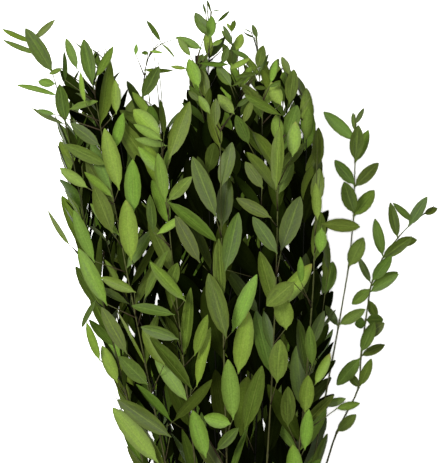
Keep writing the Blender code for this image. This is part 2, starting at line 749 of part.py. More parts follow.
def make_tie(material, collection):
    """The elastic's two turns lie side by side: their outline, turned about +Y."""
    outermost = (len(RING_COUNTS) - 1) * STEM_PITCH + STEM_RADIUS
    inner = (outermost + 0.35 * MM) / math.cos(math.pi / TIE_STEPS)
    half = [(0.0, 0.45), (0.25, 0.85), (0.75, 0.85), (1.0, 0.5), (1.0, 0.0)]
    right = [(y * TIE_CORD, inner + rise * TIE_CORD) for y, rise in half]
    outline = right + [(-y, radius) for y, radius in reversed(right[1:])]
    mesh = bmesh.new()
    verts = [mesh.verts.new((radius, y, 0)) for y, radius in outline]
    edges = [mesh.edges.new(pair) for pair in zip(verts, verts[1:] + verts[:1])]
    bmesh.ops.spin(
        mesh, geom=verts + edges, cent=(0, 0, 0), axis=(0, 1, 0),
        angle=math.tau, steps=TIE_STEPS, use_merge=True, use_duplicate=False,
    )  # fmt: skip
    bmesh.ops.recalc_face_normals(mesh, faces=mesh.faces)
    bmesh.ops.translate(mesh, vec=(0, 0, TIE_HEIGHT), verts=mesh.verts)
    return solid_object("tie", mesh, material, collection, smooth=True)


def build():
    for old in list(bpy.data.objects):
        bpy.data.objects.remove(old)
    parts = bpy.data.collections.new("dried_eucalyptus_bunch")
    bpy.context.scene.collection.children.link(parts)
    leafy = plain_material("dried_leaf", (0.19, 0.27, 0.07), 0.62)
    elastic = plain_material("tan_elastic", (0.55, 0.38, 0.20), 0.55)
    stems = [
        Stem(ring, place)
        for ring, count in enumerate(RING_COUNTS)
        for place in range(count)
    ]
    shoots, leaves = plan_foliage(stems)
    made = []
    for stem in stems:
        body = solid_object(stem.name, tube_mesh(stem, 4), leafy, parts, smooth=True)
        growth = [blade_mesh(leaf) for leaf in leaves[stem.name]]
        growth += [tube_mesh(shoot, 4) for shoot in shoots[stem.name]]
        grow_together(body, growth, leafy)
        made.append(body)
    made.append(make_tie(elastic, parts))
    low, high = bounds([v.co for body in made for v in body.data.vertices])
    shift = Matrix.Translation((-(low.x + high.x) / 2, -(low.y + high.y) / 2, -low.z))
    for body in made:
        body.data.transform(shift)
    print("leaves:", sum(len(group) for group in leaves.values()), "shift:", shift.translation)


build()
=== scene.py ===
# %% [markdown]
# A bunch of dried eucalyptus
#
# The object is a tied bunch of dried, small-leaved eucalyptus that lies on a table.
# It was first built as plain solids: one for each leafy stem, and one for the elastic
# that holds them. This script dresses those solids. It repeats the rule that placed
# their leaves, so that every fine leaf lies where its plain one does, and then adds
# the leaves between them, the veins, the colours, the table and the light.

# %% Load the plain model
import math
import random
from itertools import accumulate

import bmesh
import bpy
from mathutils import Matrix, Vector
from mathutils.bvhtree import BVHTree


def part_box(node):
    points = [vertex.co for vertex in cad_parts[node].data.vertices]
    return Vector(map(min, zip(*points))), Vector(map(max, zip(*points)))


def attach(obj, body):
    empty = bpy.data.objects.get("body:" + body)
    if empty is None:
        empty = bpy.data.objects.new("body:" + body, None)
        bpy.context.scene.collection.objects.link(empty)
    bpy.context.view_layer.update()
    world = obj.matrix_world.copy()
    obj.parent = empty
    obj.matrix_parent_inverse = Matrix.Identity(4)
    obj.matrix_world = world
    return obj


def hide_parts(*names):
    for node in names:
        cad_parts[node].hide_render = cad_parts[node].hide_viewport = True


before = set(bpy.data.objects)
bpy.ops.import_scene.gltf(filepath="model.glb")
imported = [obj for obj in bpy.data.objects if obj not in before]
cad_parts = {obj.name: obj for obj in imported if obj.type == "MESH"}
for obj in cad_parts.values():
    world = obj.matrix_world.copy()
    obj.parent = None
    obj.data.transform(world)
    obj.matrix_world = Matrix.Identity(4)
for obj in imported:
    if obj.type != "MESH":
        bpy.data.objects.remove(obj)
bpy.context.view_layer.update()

MM = 0.001
RIGHT = Vector((1, 0, 0))
UP = Vector((0, 0, 1))
print("the plain model has", len(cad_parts), "pieces")

# %% [markdown]
# The sizes are the ones that the solids were made from. A pixel of the photograph is
# 0.7 mm on the bunch, because full-grown leaves of this kind are 40 to 50 mm long.
# The layout is worked out about the tie, which is below the photograph's edge.

# %% Sizes of the bunch
PIXEL = 0.70 * MM  # one pixel of the photograph, at the bunch
TIE_U, TIE_V = 240, 740  # pixel that the tie's middle would have, below the photograph
CUT_LENGTH = 70 * MM  # bare stem below the tie
BARE_LENGTH = 92 * MM  # bare stem above the tie
RING_COUNTS = (1, 6, 10, 14)  # stems in each ring, from the middle out
STEM_PITCH = 3.8 * MM  # from one ring to the next, inside the tie
STEM_LEVELS = [y * MM for y in (0, 40, 80, 125, 180, 245, 320, 400)]  # of their bends
CUT_SPLAY = 1.15  # how much wider the rings are at the cut ends
STEM_RADIUS = 1.6 * MM  # from the cut end to above the tie
TIP_RADIUS = 0.5 * MM
UNDER_BARK = 0.3  # share of a stem's radius at which its leaves start
KNOT_SHARES = (0.1, 0.2, 0.34, 0.55, 0.78)  # of a stem's height, at the knots of its curve
LEAD_IN = 50 * MM  # without a knot, before the points that a followed stem passes
LAST_STEP = 25 * MM  # the least distance between a stem's last bends
TIE_HEIGHT = 18.5 * MM  # the stems' middle above the table, at the tie
CUT_HEIGHT = 14.4 * MM  # and at the cut ends
CORE_HEIGHT = 52 * MM  # and in the foliage
HALF_DEPTH = 42 * MM  # from there to the outermost stem's tip
print("stems:", sum(RING_COUNTS))

# %% [markdown]
# Where each stem's tip shows in the photograph, ring by ring. The places in a ring
# start at the right and turn towards the viewer, then left, and back by the table.

# %% Tips of the stems
RING_TIPS = (
    ((207, 4),),
    ((270, 74), (240, 84), (196, 62), (178, 38), (158, 60), (254, 25)),
    ((304, 98), (306, 124), (262, 104), (206, 96), (148, 82), (106, 48),
     (84, 38), (150, 20), (232, 14), (288, 60)),
    ((434, 206), (354, 114), (316, 150), (278, 140), (220, 132), (160, 122), (96, 96),
     (30, 34), (72, 180), (64, 94), (98, 60), (196, 70), (284, 84), (314, 122)),
)  # fmt: skip
print("tips:", [len(ring) for ring in RING_TIPS])

# %% [markdown]
# Some stems are followed through the photograph: the column and row of the points
# that each of them passes. The first three stand clear of the bunch, and their leaves
# have places of their own. Five numbers describe each: the row of its root on the
# stem, the column and row of its tip, its width in pixels, and its tip's rise in mm.

# %% Stems that are followed through the photograph
RIGHT_SHOOT, FAR_RIGHT_SHOOT, LEFT_SHOOT = "stem_3_01", "stem_3_00", "stem_3_07"
WAYPOINTS = {
    RIGHT_SHOOT: (
        (268, 625), (303, 520), (323, 407), (338, 325), (348, 266), (353, 215), (354, 162)
    ),
    FAR_RIGHT_SHOOT: (
        (274, 625), (310, 520), (336, 434), (360, 388), (361, 354), (371, 283), (383, 256), (406, 228)
    ),
    LEFT_SHOOT: ((198, 620), (144, 470), (92, 260), (67, 130), (53, 73)),
    "stem_0_00": ((210, 200), (207, 90), (210, 40)),
    "stem_1_03": ((150, 200), (143, 100), (144, 71), (150, 52), (161, 43)),
    "stem_1_05": ((256, 180), (260, 78), (257, 40)),
}  # fmt: skip

SHOOT_LEAVES = {
    RIGHT_SHOOT: (
        (125, 363, 109, 6, 2), (132, 352, 113, 6, -2), (141, 323, 113, 14, 4),
        (161, 357, 127, 15, 8), (163, 368, 130, 12, -6), (185, 334, 161, 13, 5),
        (187, 378, 163, 13, -4), (213, 343, 183, 16, 7), (216, 374, 190, 15, -6),
        (266, 362, 238, 16, 6), (326, 325, 305, 9, -5), (324, 364, 309, 12, 4),
        (405, 345, 398, 9, 3),
    ),
    FAR_RIGHT_SHOOT: (
        (214, 438, 208, 8, -3), (226, 427, 197, 12, 4), (222, 393, 203, 8, 5),
        (238, 390, 203, 11, 6), (243, 418, 240, 11, -6), (256, 375, 219, 12, 4),
        (258, 411, 237, 13, 9), (283, 359, 257, 8, -4), (281, 391, 256, 13, 7),
        (286, 399, 272, 11, -7), (289, 352, 304, 12, 5), (320, 384, 320, 13, -5),
        (322, 355, 324, 12, 6), (352, 374, 322, 13, 8), (356, 386, 345, 10, -6),
        (358, 337, 386, 15, -4), (386, 371, 359, 11, 7), (388, 349, 374, 9, -6),
        (432, 356, 415, 12, 5),
    ),
    LEFT_SHOOT: (
        (40, 55, 20, 8, 3), (42, 1, 30, 6, -2), (54, 1, 41, 6, -5),
        (72, 26, 29, 17, 8), (84, 37, 81, 10, -6), (96, 17, 83, 6, 3),
        (122, 60, 85, 15, 9), (124, 30, 109, 6, -4),
    ),
}  # fmt: skip
print("followed stems:", len(WAYPOINTS), "and their leaves:", sum(map(len, SHOOT_LEAVES.values())))

# %% [markdown]
# Leaves that show well on the front of the bunch: the column and row of the root and
# of the tip, and the width in pixels. A short twig of a stem close by carries each.

# %% Leaves of the front
FRONT_LEAVES = (
    (134, 213, 134, 161, 18), (132, 260, 127, 201, 20), (113, 233, 95, 187, 18),
    (88, 188, 60, 168, 12), (95, 262, 73, 211, 13), (107, 305, 77, 249, 16),
    (136, 292, 101, 277, 12), (166, 202, 159, 155, 14), (169, 201, 192, 178, 13),
    (154, 233, 151, 196, 11), (158, 234, 183, 217, 9), (168, 202, 217, 239, 14),
    (216, 217, 193, 158, 18), (145, 299, 166, 250, 10), (168, 290, 178, 263, 14),
    (222, 300, 217, 239, 14), (226, 336, 209, 273, 20), (225, 270, 238, 213, 18),
    (232, 331, 255, 274, 16), (238, 372, 248, 311, 20), (280, 250, 299, 197, 20),
    (276, 253, 252, 217, 15), (270, 218, 236, 199, 13), (293, 281, 266, 304, 20),
    (285, 328, 281, 294, 20), (233, 417, 228, 358, 19), (206, 456, 193, 409, 18),
    (244, 428, 262, 365, 18), (192, 388, 152, 335, 14), (165, 365, 143, 328, 16),
    (179, 338, 141, 326, 13), (175, 314, 132, 304, 11), (148, 384, 120, 356, 17),
    (174, 420, 213, 380, 12), (171, 436, 117, 399, 18), (158, 463, 112, 408, 20),
    (117, 383, 102, 346, 14), (127, 353, 102, 307, 15), (195, 354, 207, 314, 12),
    (197, 385, 208, 326, 11), (231, 422, 204, 415, 16), (217, 448, 238, 426, 12),
    (276, 380, 279, 338, 20), (287, 424, 287, 385, 16), (304, 411, 307, 374, 16),
    (304, 448, 308, 408, 14), (295, 480, 292, 443, 17), (311, 364, 308, 325, 12),
    (314, 383, 329, 352, 11), (262, 189, 245, 163, 13), (316, 220, 314, 184, 11),
    (320, 224, 359, 227, 14), (320, 228, 318, 252, 13), (291, 158, 294, 124, 15),
    (285, 140, 296, 107, 16), (248, 145, 236, 118, 13), (275, 190, 277, 129, 14),
    (101, 126, 113, 61, 14), (120, 190, 106, 130, 18), (101, 147, 72, 124, 13),
    (94, 86, 84, 39, 15), (97, 79, 115, 48, 9), (115, 150, 124, 115, 12),
    (143, 100, 160, 68, 14), (170, 160, 190, 104, 18), (165, 137, 162, 101, 8),
    (163, 142, 135, 126, 10), (199, 89, 189, 60, 14), (208, 37, 195, 13, 12),
    (210, 40, 212, 17, 11), (236, 52, 242, 35, 10), (257, 70, 263, 47, 11),
    (288, 106, 293, 71, 14), (280, 107, 270, 84, 14), (280, 117, 243, 98, 9),
    (243, 125, 252, 102, 9), (215, 130, 216, 101, 11), (234, 116, 218, 97, 12),
    (232, 331, 300, 283, 14), (200, 262, 176, 216, 15), (186, 300, 150, 262, 13),
    (100, 361, 86, 323, 10), (70, 246, 46, 211, 7), (96, 300, 80, 328, 7),
    (171, 420, 138, 382, 9), (300, 283, 299, 257, 8), (335, 407, 359, 402, 9),
)  # fmt: skip
# The roots of the leaves that are fresh green, and of those that are old and dark.
FRESH_LEAVES = (
    (134, 213), (107, 305), (238, 372), (233, 417), (206, 456), (158, 463), (117, 383),
    (304, 448), (320, 228), (291, 158), (199, 89), (132, 260), (232, 331), (295, 480),
)  # fmt: skip
OLD_LEAVES = (
    (168, 290), (127, 353), (280, 117), (257, 70), (288, 106), (208, 37), (143, 100),
    (168, 202), (216, 217), (222, 300), (154, 233), (179, 338), (192, 388), (171, 436),
    (276, 253), (225, 270), (270, 218), (262, 189), (113, 233),
)  # fmt: skip
print("leaves of the front:", len(FRONT_LEAVES))

# %% [markdown]
# The outline keeps the drawn leaves where the photograph shows foliage. Each row of
# it gives a row of the photograph and the columns of the left and the right edge. The
# skyline gives a column, and the row above which no drawn leaf rises.
# The leaves on the table carry the bunch: how far above the tie they grow, and which
# way they point, in degrees to the left of the stem.

# %% Outline, and the leaves that lie on the table
OUTLINE = (
    (0, 120, 262), (40, 56, 282), (100, 52, 312), (160, 54, 324), (240, 66, 332),
    (320, 88, 336), (400, 112, 334), (460, 128, 322), (600, 184, 294), (740, 215, 264),
)  # fmt: skip
SKYLINE = (
    (40, 38), (112, 42), (122, 76), (146, 100), (170, 108), (187, 98),
    (192, 18), (236, 18), (246, 58), (298, 58), (312, 112), (336, 150),
)  # fmt: skip

FLOOR_LEAVES = {
    "stem_3_08": (230 * MM, -8),
    "stem_3_09": (310 * MM, -15),
    "stem_3_10": (190 * MM, 12),
    "stem_3_11": (330 * MM, 20),
    "stem_3_12": (262 * MM, -20),
    "stem_3_13": (200 * MM, 5),
}


def from_photo(u, v, z=0.0):
    """The point at height z that shows at this pixel of the photograph."""
    return Vector(((u - TIE_U) * PIXEL, (TIE_V - v) * PIXEL, z))


def between(table, place):
    """Reads a table of rows between two of them: what stands beside this place."""
    for (start, *here), (end, *there) in zip(table, table[1:]):
        if place <= end:
            share = max(0.0, (place - start) / (end - start))
            return [a + (b - a) * share for a, b in zip(here, there)]
    return table[-1][1:]


def to_photo(point):
    """The column and row of the photograph where the point shows."""
    return point.x / PIXEL + TIE_U, TIE_V - point.y / PIXEL


def in_outline(point):
    """Whether the point shows within the bunch's outline."""
    u, v = to_photo(point)
    left, right = between(OUTLINE, v)
    return left < u < right and v > between(SKYLINE, u)[0]


def ramp(t):
    """Rises smoothly from 0 to 1 as t does."""
    t = min(1.0, max(0.0, t))
    return t * t * (3 - 2 * t)


def bounds(points):
    """The lowest and the highest corner of a box round the points."""
    low = Vector([min(p[i] for p in points) for i in range(3)])
    high = Vector([max(p[i] for p in points) for i in range(3)])
    return low, high


def square_to(along, vector):
    """The direction of the vector's part that is square to along, a unit vector."""
    return (vector - vector.dot(along) * along).normalized()


def how_many(groups):
    return sum(len(group) for group in groups.values())


def placed(name, data):
    """A new object that is in the scene."""
    made = bpy.data.objects.new(name, data)
    bpy.context.scene.collection.objects.link(made)
    return made

print("leaves on the table:", len(FLOOR_LEAVES))

# %% [markdown]
# A stem is a line with a thickness. Its points come from a smooth curve through its
# cut end, its place in the tie and its way through the foliage. Side shoots are the
# same thing on a smaller scale, so both are one class.

# %% Routes of the stems
def smooth_line(knots, levels):
    """The points at these y on a curve through all the knots, by the Catmull-Rom rule."""
    ends = [2 * knots[0] - knots[1], *knots, 2 * knots[-1] - knots[-2]]
    fine = [knots[0].copy()]
    for a, b, c, d in zip(ends, ends[1:], ends[2:], ends[3:]):
        for i in range(1, 9):
            t = i / 8
            bent = (2 * a - 5 * b + 4 * c - d) * t**2 + (3 * b - a - 3 * c + d) * t**3
            fine.append(0.5 * (2 * b + (c - a) * t + bent))
    whole = Shoot("", fine, 0.0, 0.0)
    return [whole.at(whole.distance_at_y(y))[0] for y in levels]


class Shoot:
    """A stem or side shoot of one solid: the line of its middle, and its thickness."""

    def __init__(self, solid, line, root_radius, tip_radius, tip_leaf=0.0):
        self.solid, self.line, self.tip_leaf = solid, line, tip_leaf
        self.root_radius, self.tip_radius = root_radius, tip_radius
        self.length = sum((b - a).length for a, b in zip(line, line[1:]))

    def at(self, distance):
        """The point this far from the root, and the direction there."""
        left = distance
        for a, b in zip(self.line, self.line[1:]):
            step = (b - a).length
            if left <= step:
                return a.lerp(b, left / step), (b - a).normalized()
            left -= step
        return self.line[-1].copy(), (self.line[-1] - self.line[-2]).normalized()

    def distance_at_y(self, y):
        """How far from the root the shoot passes this y."""
        gone = 0.0
        for a, b in zip(self.line, self.line[1:]):
            if b.y >= y:
                return gone + (b - a).length * max(0.0, (y - a.y) / (b.y - a.y))
            gone += (b - a).length
        return gone

    def radius_at(self, distance):
        tapered = distance / self.length
        return self.root_radius + (self.tip_radius - self.root_radius) * tapered

    def rooted(self, distance, away, depth=UNDER_BARK):
        """The point under the bark from which something grows in the direction away."""
        return self.at(distance)[0] + away * self.radius_at(distance) * depth


class Stem(Shoot):
    """A stem, by its ring and place in the tie."""

    def __init__(self, ring, place):
        self.name = f"stem_{ring}_{place:02d}"
        turn = math.tau * place / RING_COUNTS[ring]
        outermost = len(RING_COUNTS) - 1
        in_tie = ring * STEM_PITCH * Vector((math.cos(turn), 0, math.sin(turn)))
        self.cut = Vector((0, -CUT_LENGTH, CUT_HEIGHT)) + in_tie * CUT_SPLAY
        self.tied = Vector((0, 0, TIE_HEIGHT)) + in_tie
        height = CORE_HEIGHT + HALF_DEPTH * ring / outermost * math.sin(turn)
        self.tip = from_photo(*RING_TIPS[ring][place], height)
        line = smooth_line(self.knots(), self.levels())
        lowness = ramp((RING_TIPS[ring][place][1] - 30) / 120)
        super().__init__(self.name, line, STEM_RADIUS, TIP_RADIUS, (13 + 17 * lowness) * MM)

    def knots(self):
        """The points that the stem passes, from its cut end to its tip."""
        passed = [self.fanned(share) for share in KNOT_SHARES]
        followed = [from_photo(u, v) for u, v in WAYPOINTS.get(self.name, ())]
        for point in followed:
            point.z = self.fanned(point.y / self.tip.y).z
        if followed:
            passed = [point for point in passed if point.y < followed[0].y - LEAD_IN]
        return [self.cut, self.tied, *passed, *followed, self.tip]

    def levels(self):
        """The y of the points between which the stem is straight. They are the same for
        neighbours, which keeps their distance."""
        followed = [from_photo(u, v).y for u, v in WAYPOINTS.get(self.name, ())]
        top = followed[0] if followed else self.tip.y
        shared = [y for y in STEM_LEVELS if y < top - LAST_STEP]
        return [-CUT_LENGTH, *shared, *followed, self.tip.y]

    def fanned(self, share):
        """The point at this share of the height: stems to the left fan out straight,
        and those to the right bow outwards."""
        rightness = ramp(0.5 + self.tip.x / (150 * MM))
        spread = (1 - (1 - share) ** (1.1 + 0.9 * rightness)) * ramp(share / 0.3)
        point = self.tied.lerp(self.tip, spread)
        point.y = self.tip.y * share
        return point

    def radius_at(self, distance):
        tapered = max(0.0, (distance - CUT_LENGTH) / (self.length - CUT_LENGTH))
        return STEM_RADIUS + (TIP_RADIUS - STEM_RADIUS) * tapered


def swept_mesh(points, radii, resolution, closed=False):
    """A round section swept along the points, with a radius at each of them."""
    curve = bpy.data.curves.new("sweep", "CURVE")
    curve.dimensions = "3D"
    curve.bevel_depth = 1.0
    curve.bevel_resolution = resolution
    curve.use_fill_caps = not closed
    spline = curve.splines.new("POLY")
    spline.use_cyclic_u = closed
    spline.points.add(len(points) - 1)
    for target, point, radius in zip(spline.points, points, radii):
        target.co = (*point, 1.0)
        target.radius = radius
    holder = placed("sweep", curve)
    depsgraph = bpy.context.evaluated_depsgraph_get()
    made = bpy.data.meshes.new_from_object(holder.evaluated_get(depsgraph))
    mesh = bmesh.new()
    mesh.from_mesh(made)
    bmesh.ops.remove_doubles(mesh, verts=mesh.verts, dist=0.01 * MM)
    bpy.data.objects.remove(holder)
    bpy.data.curves.remove(curve)
    bpy.data.meshes.remove(made)
    return mesh


def tube_mesh(shoot, sides):
    """The shoot as a tapered tube, closed at both ends."""
    steps = [(b - a).length for a, b in zip(shoot.line, shoot.line[1:])]
    radii = [shoot.radius_at(gone) for gone in accumulate(steps, initial=0.0)]
    return swept_mesh(shoot.line, radii, (sides - 4) // 2)


stems = [
    Stem(ring, place) for ring, count in enumerate(RING_COUNTS) for place in range(count)
]
print("longest stem:", round(max(stem.length for stem in stems) / MM), "mm")

# %% [markdown]
# A leaf is described by where it starts, where it points and which way its flat side
# looks. Its midrib is an arc, and a formula gives its width along the way. The same
# description makes the plain blade that tests for room and the fine one that shows.

# %% Description of a leaf
LEAF_LENGTH = 48 * MM  # a full-grown leaf
LEAF_THICKNESS = 0.9 * MM  # from the flat side to the keel
STALK = 1.1 * MM  # width of a leaf's stalk
STALK_SHARE = 0.05  # of a leaf's length is stalk
ROOT_END, TIP_END = 0.62, 0.68  # the smaller, the blunter that end of the blade
WIDEST = 0.407  # what these two give at the widest place
STATIONS = (0.16, 0.47, 0.82)  # of a plain blade's cross-sections, as shares of its length
SHORT, SHORT_STATIONS = 26 * MM, (0.28, 0.76)  # and of a blade that is shorter than this
GAP = 0.45 * MM  # kept between leaves and stems of different solids


class Leaf:
    """A blade that leaves its stem at root along heading, with its flat side towards
    facing, and bends away from that side by curl, in radians from root to tip."""

    LOWEST = 0.0  # where its envelope may end

    def __init__(self, root, heading, facing, length, width, curl):
        self.root, self.length, self.width, self.curl = root, length, width, curl
        self.heading = heading.normalized()
        self.facing = square_to(self.heading, facing)
        self.side = self.heading.cross(self.facing)

    def frame_at(self, t):
        """The point of the midrib at share t of the length, and the flat side's normal."""
        bend = self.curl * t
        if abs(self.curl) < 0.001:
            return self.root + self.heading * self.length * t, self.facing
        sideways = math.sin(bend) * self.heading - (1 - math.cos(bend)) * self.facing
        point = self.root + self.length / self.curl * sideways
        return point, math.cos(bend) * self.facing + math.sin(bend) * self.heading

    def half_width(self, t):
        """A narrow stalk, then a long ellipse that is widest just before its middle."""
        blade = min(1.0, max(0.0, (t - STALK_SHARE) / (1 - STALK_SHARE)))
        half = self.width / 2 * blade**ROOT_END * (1 - blade) ** TIP_END / WIDEST
        return max(STALK / 2, half)


class FloorLeaf(Leaf):
    """A leaf that sinks to the table and lies flat on it, with its flat side down."""

    LANDS = 0.45  # share of the length at which it lies flat
    LOWEST = -1.1 * GAP

    def frame_at(self, t):
        sunk = ramp(t / self.LANDS)
        point = self.root + self.heading * self.length * t
        point.z = self.root.z + (LEAF_THICKNESS / 2 - self.root.z) * sunk
        return point, -UP


def drawn_out(leaf, sides, stations, start, grow):
    """A sphere of a few sides drawn out along the leaf: its poles are at start and
    at the tip, and its rings at the stations. It can grow on all sides."""
    rings = (start, *stations, 1 + grow / leaf.length)
    mesh = bmesh.new()
    bmesh.ops.create_uvsphere(mesh, u_segments=sides, v_segments=len(rings) - 1, radius=1)
    for vert in mesh.verts:
        polar = math.acos(max(-1.0, min(1.0, vert.co.z))) / math.pi
        t = rings[round(polar * (len(rings) - 1))]
        point, normal = leaf.frame_at(t)
        if vert.co.xy.length > 0.01:
            corner = vert.co.xy.normalized()
            sideways, upwards = section_corner(corner, sides)
            point = point + leaf.side * sideways * (leaf.half_width(t) + grow)
            point = point + normal * upwards * (LEAF_THICKNESS / 2 + grow)
        vert.co = point
    bmesh.ops.recalc_face_normals(mesh, faces=mesh.faces)
    return mesh


def section_corner(corner, sides):
    """Where a corner of the leaf's cross-section lies: across and along its normal."""
    if sides == 3:
        return (0.0, -1.0) if abs(corner.y) < 0.5 else (math.copysign(1, corner.y), 1.0)
    turn = math.atan2(corner.y, corner.x) + math.pi / 4
    return math.copysign(1, math.cos(turn)), math.copysign(1, math.sin(turn))


def blade_mesh(leaf, start=0.0):
    """The leaf's solid: two edges on the flat side, and a keel behind."""
    stations = STATIONS if leaf.length > SHORT else SHORT_STATIONS
    kept = [t for t in stations if t > start]
    return drawn_out(leaf, 3, kept, start, 0.0)


def envelope_mesh(leaf, start=0.0):
    """A box-like hull round the leaf, with the gap that others must keep."""
    kept = [t for t in STATIONS if t > start]
    return drawn_out(leaf, 4, kept, start, GAP)

# %% [markdown]
# Leaves of different stems never cross. A bounding volume tree answers quickly
# whether two meshes touch, so each new leaf is drawn again until it touches nothing.

# %% Keeping clear of one another
BLADE_START = 0.12  # the part of a leaf beyond this share has left its stem


class Member:
    """A stem or leaf that is in place, with trees to test others against."""

    def __init__(self, solid, whole, blade=None):
        self.solid = solid
        low, high = bounds([v.co for v in whole.verts])
        self.lowest = low.z
        self.centre, self.reach = (low + high) / 2, (high - low).length / 2
        self.whole = BVHTree.FromBMesh(whole)
        self.blade = BVHTree.FromBMesh(blade) if blade else None

    def crosses(self, other):
        if (self.centre - other.centre).length > self.reach + other.reach:
            return False
        if self.solid != other.solid:
            return bool(self.whole.overlap(other.whole))
        if other.blade is None:
            return bool(self.blade.overlap(other.whole))
        return bool(self.whole.overlap(other.blade) or self.blade.overlap(other.whole))


def leaf_member(solid, leaf, shape):
    return Member(solid, shape(leaf), shape(leaf, BLADE_START))


class Crowd:
    """All that is in place so far."""

    ROW = 30 * MM  # members are kept in rows of this depth, so that a test reads only a few
    SIDES = 4  # of the tube that stands for a shoot

    def __init__(self):
        self.rows = {}

    def rows_of(self, member):
        low, high = member.centre.y - member.reach, member.centre.y + member.reach
        return range(math.floor(low / self.ROW), math.floor(high / self.ROW) + 1)

    def add(self, member):
        for row in self.rows_of(member):
            self.rows.setdefault(row, []).append(member)

    def near(self, tried):
        return {member for row in self.rows_of(tried) for member in self.rows.get(row, ())}

    def add_shoot(self, shoot):
        self.add(Member(shoot.solid, tube_mesh(shoot, self.SIDES)))

    def add_leaf(self, solid, leaf):
        self.add(leaf_member(solid, leaf, blade_mesh))

    def is_free(self, tried, members, lowest):
        """Whether it crosses none of the members and ends no lower than this."""
        return tried.lowest >= lowest and not any(map(tried.crosses, members))

    def has_room_for_shoot(self, shoot):
        tried = Member(shoot.solid, tube_mesh(shoot, self.SIDES))
        others = [member for member in self.near(tried) if member.solid != shoot.solid]
        return self.is_free(tried, others, SHOOT_RADIUS)

    def has_room_for_twig(self, twig):
        """Like a shoot, but it keeps clear of its own stem's leaves too."""
        tried = Member(twig.solid, tube_mesh(twig, self.SIDES))
        own = [member for member in self.near(tried) if member.solid == twig.solid and member.blade]
        pierced = any(tried.whole.overlap(member.blade) for member in own)
        return not pierced and self.has_room_for_shoot(twig)

    def has_room_for(self, solid, leaf):
        tried = leaf_member(solid, leaf, envelope_mesh)
        return self.is_free(tried, self.near(tried), leaf.LOWEST)

    def lets_in(self, solid, leaf):
        """Whether the bare blade crosses nothing: the later leaves may lie closer."""
        tried = leaf_member(solid, leaf, blade_mesh)
        return self.is_free(tried, self.near(tried), 0.0)

# %% [markdown]
# Eucalyptus carries its leaves in opposite pairs, each pair a quarter turn round from
# the last. The plan grows the leaves that the photograph shows, then side shoots, and
# then pair after pair down every stem. All of it goes into the same three collections:
# the crowd, and the leaves and the shoots by the name of their stem.

# %% Placing the leaves
SHOOT_RADIUS = 0.75 * MM
TWIG_RADIUS = 0.55 * MM  # of the short twig that carries a leaf of the front
SHOOT_LENGTH = 95 * MM  # a side shoot
SHOOT_SHARE = 0.6  # of the stems have one
SHOOT_FROM_TIP = (110 * MM, 240 * MM)  # where it starts
SHOOT_SWING = 0.42  # how far it swings out, as a share of its length
ROOF_SLOPE = 0.5  # of the roof over the stems that bounds the drawn leaves
DRAWN_RISE = 5 * MM  # of their tips above it
FRONT_RISE = (3 * MM, 14 * MM)  # of the leaves of the front above it
FRONT_TIP_RISE = 5 * MM  # from the root of such a leaf to its tip
FRONT_CLIMB = (6, 20)  # mm from the foot of its twig up to its root
TWIG_OVERLAP = 0.8 * MM  # by which that twig goes into the leaf
HOST_DROP = 12 * MM  # below the leaf's root, where the nearest stem is looked for
FREE_ROWS = 25  # of the photograph, between the drawn leaves and a followed stem's own
LEAF_ANGLES = (12, 42)  # degrees between a leaf and its stem
TURN_SPREAD = 14  # degrees by which a pair is usually turned from its place
FULL_GROWN = 155 * MM  # from a tip, where leaves are full-grown
LENGTHS, WIDTHS = (0.86, 1.12), (0.88, 1.12)  # of a leaf beside the usual one
BROADNESS, NARROWING = 0.38, 0.1  # width of a young leaf by its length, less when grown
TURNED_OUT = (0.25, 0.95)  # how far a leaf has turned to the bunch's outside
FLATNESS = 0.35  # of the bunch, whose outside faces up or down more than sideways
LOW_MIDDLE = 0.6  # height of its middle, for this, as a share of the core's
CURLS = (-0.15, 0.5)
PAIRS_FROM_TIP = [d * MM for d in (3, 22, 52, 92, 136, 182, 230, 280, 332)]
SHOOT_PAIRS_FROM_TIP = [d * MM for d in (3, 20, 50)]
LEAVES_A_STEM = 13  # after which no more pairs are drawn
SQUEEZES = [1 - 0.025 * max(0, attempt - 8) for attempt in range(22)]  # of a leaf, try by try
SLIMMEST = 0.27  # width of a measured leaf, as a share of its length
MEASURED_CURL = 0.12
FLOOR_WIDTH = 0.31  # of a leaf that lies on the table, as a share of its length
SEED = 11


def along_the_front(heading, point, normal):
    """Square to the heading, and away from the bunch's middle or towards it, whichever
    is nearer to this normal: a leaf that faces this way lies along the bunch's outside."""
    outwards = Vector((point.x * FLATNESS, 0, point.z - CORE_HEIGHT * LOW_MIDDLE))
    outwards = square_to(heading, outwards)
    return outwards if normal.dot(outwards) > 0 else -outwards


def drawn_leaf(shoot, distance, azimuth, draw, squeeze):
    """A leaf of the general kind, drawn at random about its habit."""
    axis, along = shoot.at(distance)
    grown = ramp(0.05 + (shoot.length - distance) / FULL_GROWN)
    length = shoot.tip_leaf + (LEAF_LENGTH - shoot.tip_leaf) * grown
    length *= draw.uniform(*LENGTHS) * squeeze
    width = length * (BROADNESS - NARROWING * grown) * draw.uniform(*WIDTHS)
    right = square_to(along, RIGHT)
    front = right.cross(along)
    turned = azimuth + math.radians(draw.gauss(0, TURN_SPREAD))
    away = math.cos(turned) * right + math.sin(turned) * front
    angle = math.radians(draw.uniform(*LEAF_ANGLES))
    heading = math.cos(angle) * along + math.sin(angle) * away
    inner_side = math.sin(angle) * along - math.cos(angle) * away
    turned_out = along_the_front(heading, axis, inner_side)
    facing = inner_side.lerp(turned_out, draw.uniform(*TURNED_OUT))
    root = shoot.rooted(distance, away)
    return Leaf(root, heading, facing, length, width, draw.uniform(*CURLS))


def keep_leaf(solid, leaf):
    crowd.add_leaf(solid, leaf)
    leaves[solid].append(leaf)


def keep_shoot(shoot):
    crowd.add_shoot(shoot)
    shoots[shoot.solid].append(shoot)


